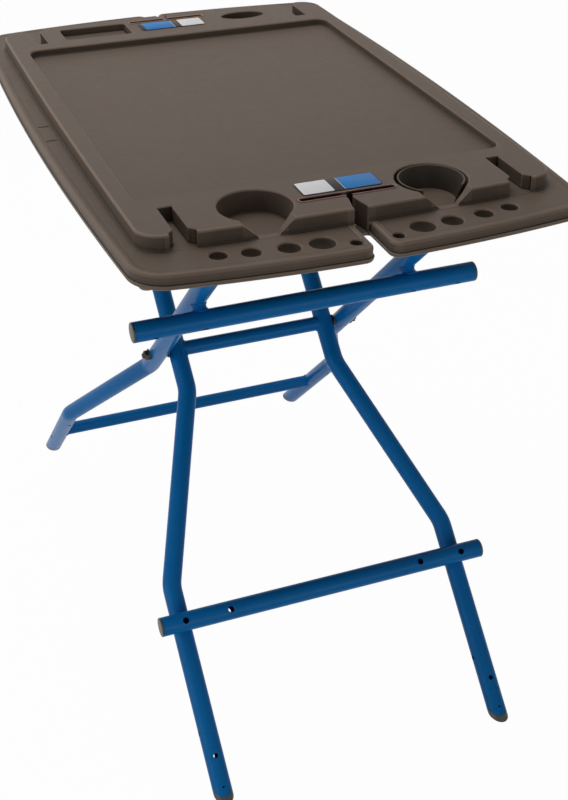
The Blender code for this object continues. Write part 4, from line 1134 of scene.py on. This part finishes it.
for side, word in both_sides:
    way = across * side
    for kind, start, stop in (
            ("spacer", spacer_start, spacer_start + (frame_gap - 2 * seat_gap)),
            ("washer", washer_start, washer_start + washer_thickness)):
        name = f"pivot_{kind}_{word}"
        section = [(start, ring_bore), (start, washer_radius - ring_soft),
                   (start + ring_soft, washer_radius), (stop - ring_soft, washer_radius),
                   (stop, washer_radius - ring_soft), (stop, ring_bore)]
        ring = solid("bench_" + name, turned(section, pivot, way, 48, True))
        fit_out(ring, steel, "front_frame", name)
    nut = solid("bench_pivot_nut_" + word, dowel(nut_start, nut_stop, nut_corner, pivot, way, 6))
    carve(nut, turned(nut_cone, pivot, way, 64), operation="INTERSECT")
    carve(nut, dowel(nut_start - 0.002, nut_stop + 0.002, ring_bore, pivot, way))
    fit_out(soften(nut, 28), steel, "front_frame", "pivot_nut_" + word)

# Hinge brackets under the top's far end. Channels of folded black steel with round
# cheeks on both sides of each front leg, and a pin through cheeks and leg.
bracket_plate = 0.003
bracket_corner = 0.003
cheek_radius = 0.013
cheek_start = tube_radius + 0.0012
pin_hole = 0.0043
pin_radius = 0.0040
screw_hole = 0.0028
bracket_screw_y = 0.024


def bevelled(item, width):
    """Rounds every sharp edge of a piece by a width."""
    round_off = item.modifiers.new("edge_round", "BEVEL")
    round_off.width = width
    round_off.segments = 2
    round_off.limit_method = "ANGLE"
    round_off.angle_limit = math.radians(30)
    round_off.harden_normals = True
    return item


for side, word in both_sides:
    low, high, half = node_box("hinge_bracket_" + word)
    centre = hinge + across * side * front_half_top
    plan = boxed(centre[0], centre[1] - table_y, half[0], half[1], bracket_corner)()
    bracket = solid("bench_hinge_bracket_" + word, prism(plan, high.z - bracket_plate, high.z))
    arc = np.linspace(0, -math.pi, 25)
    cheek_top = high.z - centre[2] - 0.001
    cheek = np.concatenate([
        [(-cheek_radius, cheek_top), (cheek_radius, cheek_top)],
        np.stack([cheek_radius * np.cos(arc), cheek_radius * np.sin(arc)], axis=1)])
    carve(bracket, *[skin([centre + np.column_stack([np.full(len(cheek), way * offset), cheek])
                           for offset in (cheek_start, cheek_start + bracket_plate)])
                     for way in (-1, 1)], operation="UNION")
    carve(bracket, hole(centre, across, pin_hole), *[
        dowel(-0.01, 0.01, screw_hole, np.array([centre[0], centre[1] + offset, high.z]),
              upright, 24) for offset in (-bracket_screw_y, bracket_screw_y)])
    fit_out(bevelled(bracket, 0.0005), steel, "top", "hinge_bracket_" + word)
    low, high, half = node_box("hinge_pin_" + word)
    pin = solid("bench_hinge_pin_" + word, turned(
        [(-half[0], 0.0030), (0.0008 - half[0], pin_radius), (half[0] - 0.0008, pin_radius),
         (half[0], 0.0030)], centre, across))
    fit_out(pin, steel, "top", "hinge_pin_" + word)

# Sockets under the top's near end. Blocks of dark plastic that the rear legs' ends bear
# on, with a round channel that is open the way the leg swings out.
socket_corner = 0.004
socket_screw_x = 0.0228
trough_radius = tube_radius + 0.0008
trough_length = 0.0635
trough_arc = np.linspace(0, math.pi, 25)
trough = np.concatenate([
    np.stack([trough_radius * np.cos(trough_arc), trough_radius * np.sin(trough_arc)], axis=1),
    [(-trough_radius, -trough_length), (trough_radius, -trough_length)]])
for side, word in both_sides:
    name = "leg_socket_" + word
    low, high, half = node_box(name)
    x, y, _ = middle_of(name)
    block = solid("bench_" + name, prism(
        boxed(x, y - table_y, half[0], half[1], socket_corner, 7)(), low.z, high.z))
    carve(block, skin([pivot + rear_up * along + across * side * rear_half_top
                       + trough[:, :1] * across + trough[:, 1:] * rear_under
                       for along in (rear_leg_above - trough_length, rear_leg_above + seat_gap)]))
    carve(block, *[dowel(-0.05, 0.01, screw_hole, np.array([x + offset, y, high.z]), upright, 24)
                   for offset in (-socket_screw_x, socket_screw_x)])
    fit_out(bevelled(block, 0.0006), dark, "top", name)

# Screws that hold brackets and sockets to the top. Black pan heads with a cross recess,
# on threaded shanks whose radius steps four times a turn.
shank_radius = 0.0025
ridge_depth = 0.0004
recess_half = 0.0022
recess_width = 0.00045
screw_head = [(0.0, 0.0014), (0.00015, 0.0026), (0.0006, 0.0036), (0.0013, 0.0043),
              (0.0020, 0.0045), (0.0025, 0.0045), (0.0025, shank_radius)]
for name in sorted(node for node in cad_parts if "_screw_" in node):
    low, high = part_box(name)
    length = high.z - low.z
    centre = np.array([(low.x + high.x) / 2, (low.y + high.y) / 2, low.z])
    ridges = [(along, shank_radius - ridge_depth * (index % 4 < 2))
              for index, along in enumerate(np.arange(0.0030, length - 0.0008, 0.00025))]
    screw = solid("bench_" + name, turned([*screw_head, *ridges, (length, 0.0012)], centre,
                                          upright, 32))
    for x, y in ((recess_half, recess_width), (recess_width, recess_half)):
        plan = np.array([(-x, -y), (x, -y), (x, y), (-x, y)])
        carve(screw, skin([centre + np.column_stack([plan * share, np.full(4, height)])
                           for share, height in ((1.0, -0.0005), (0.45, 0.0013))]))
    fit_out(soften(screw), steel, "top", name)
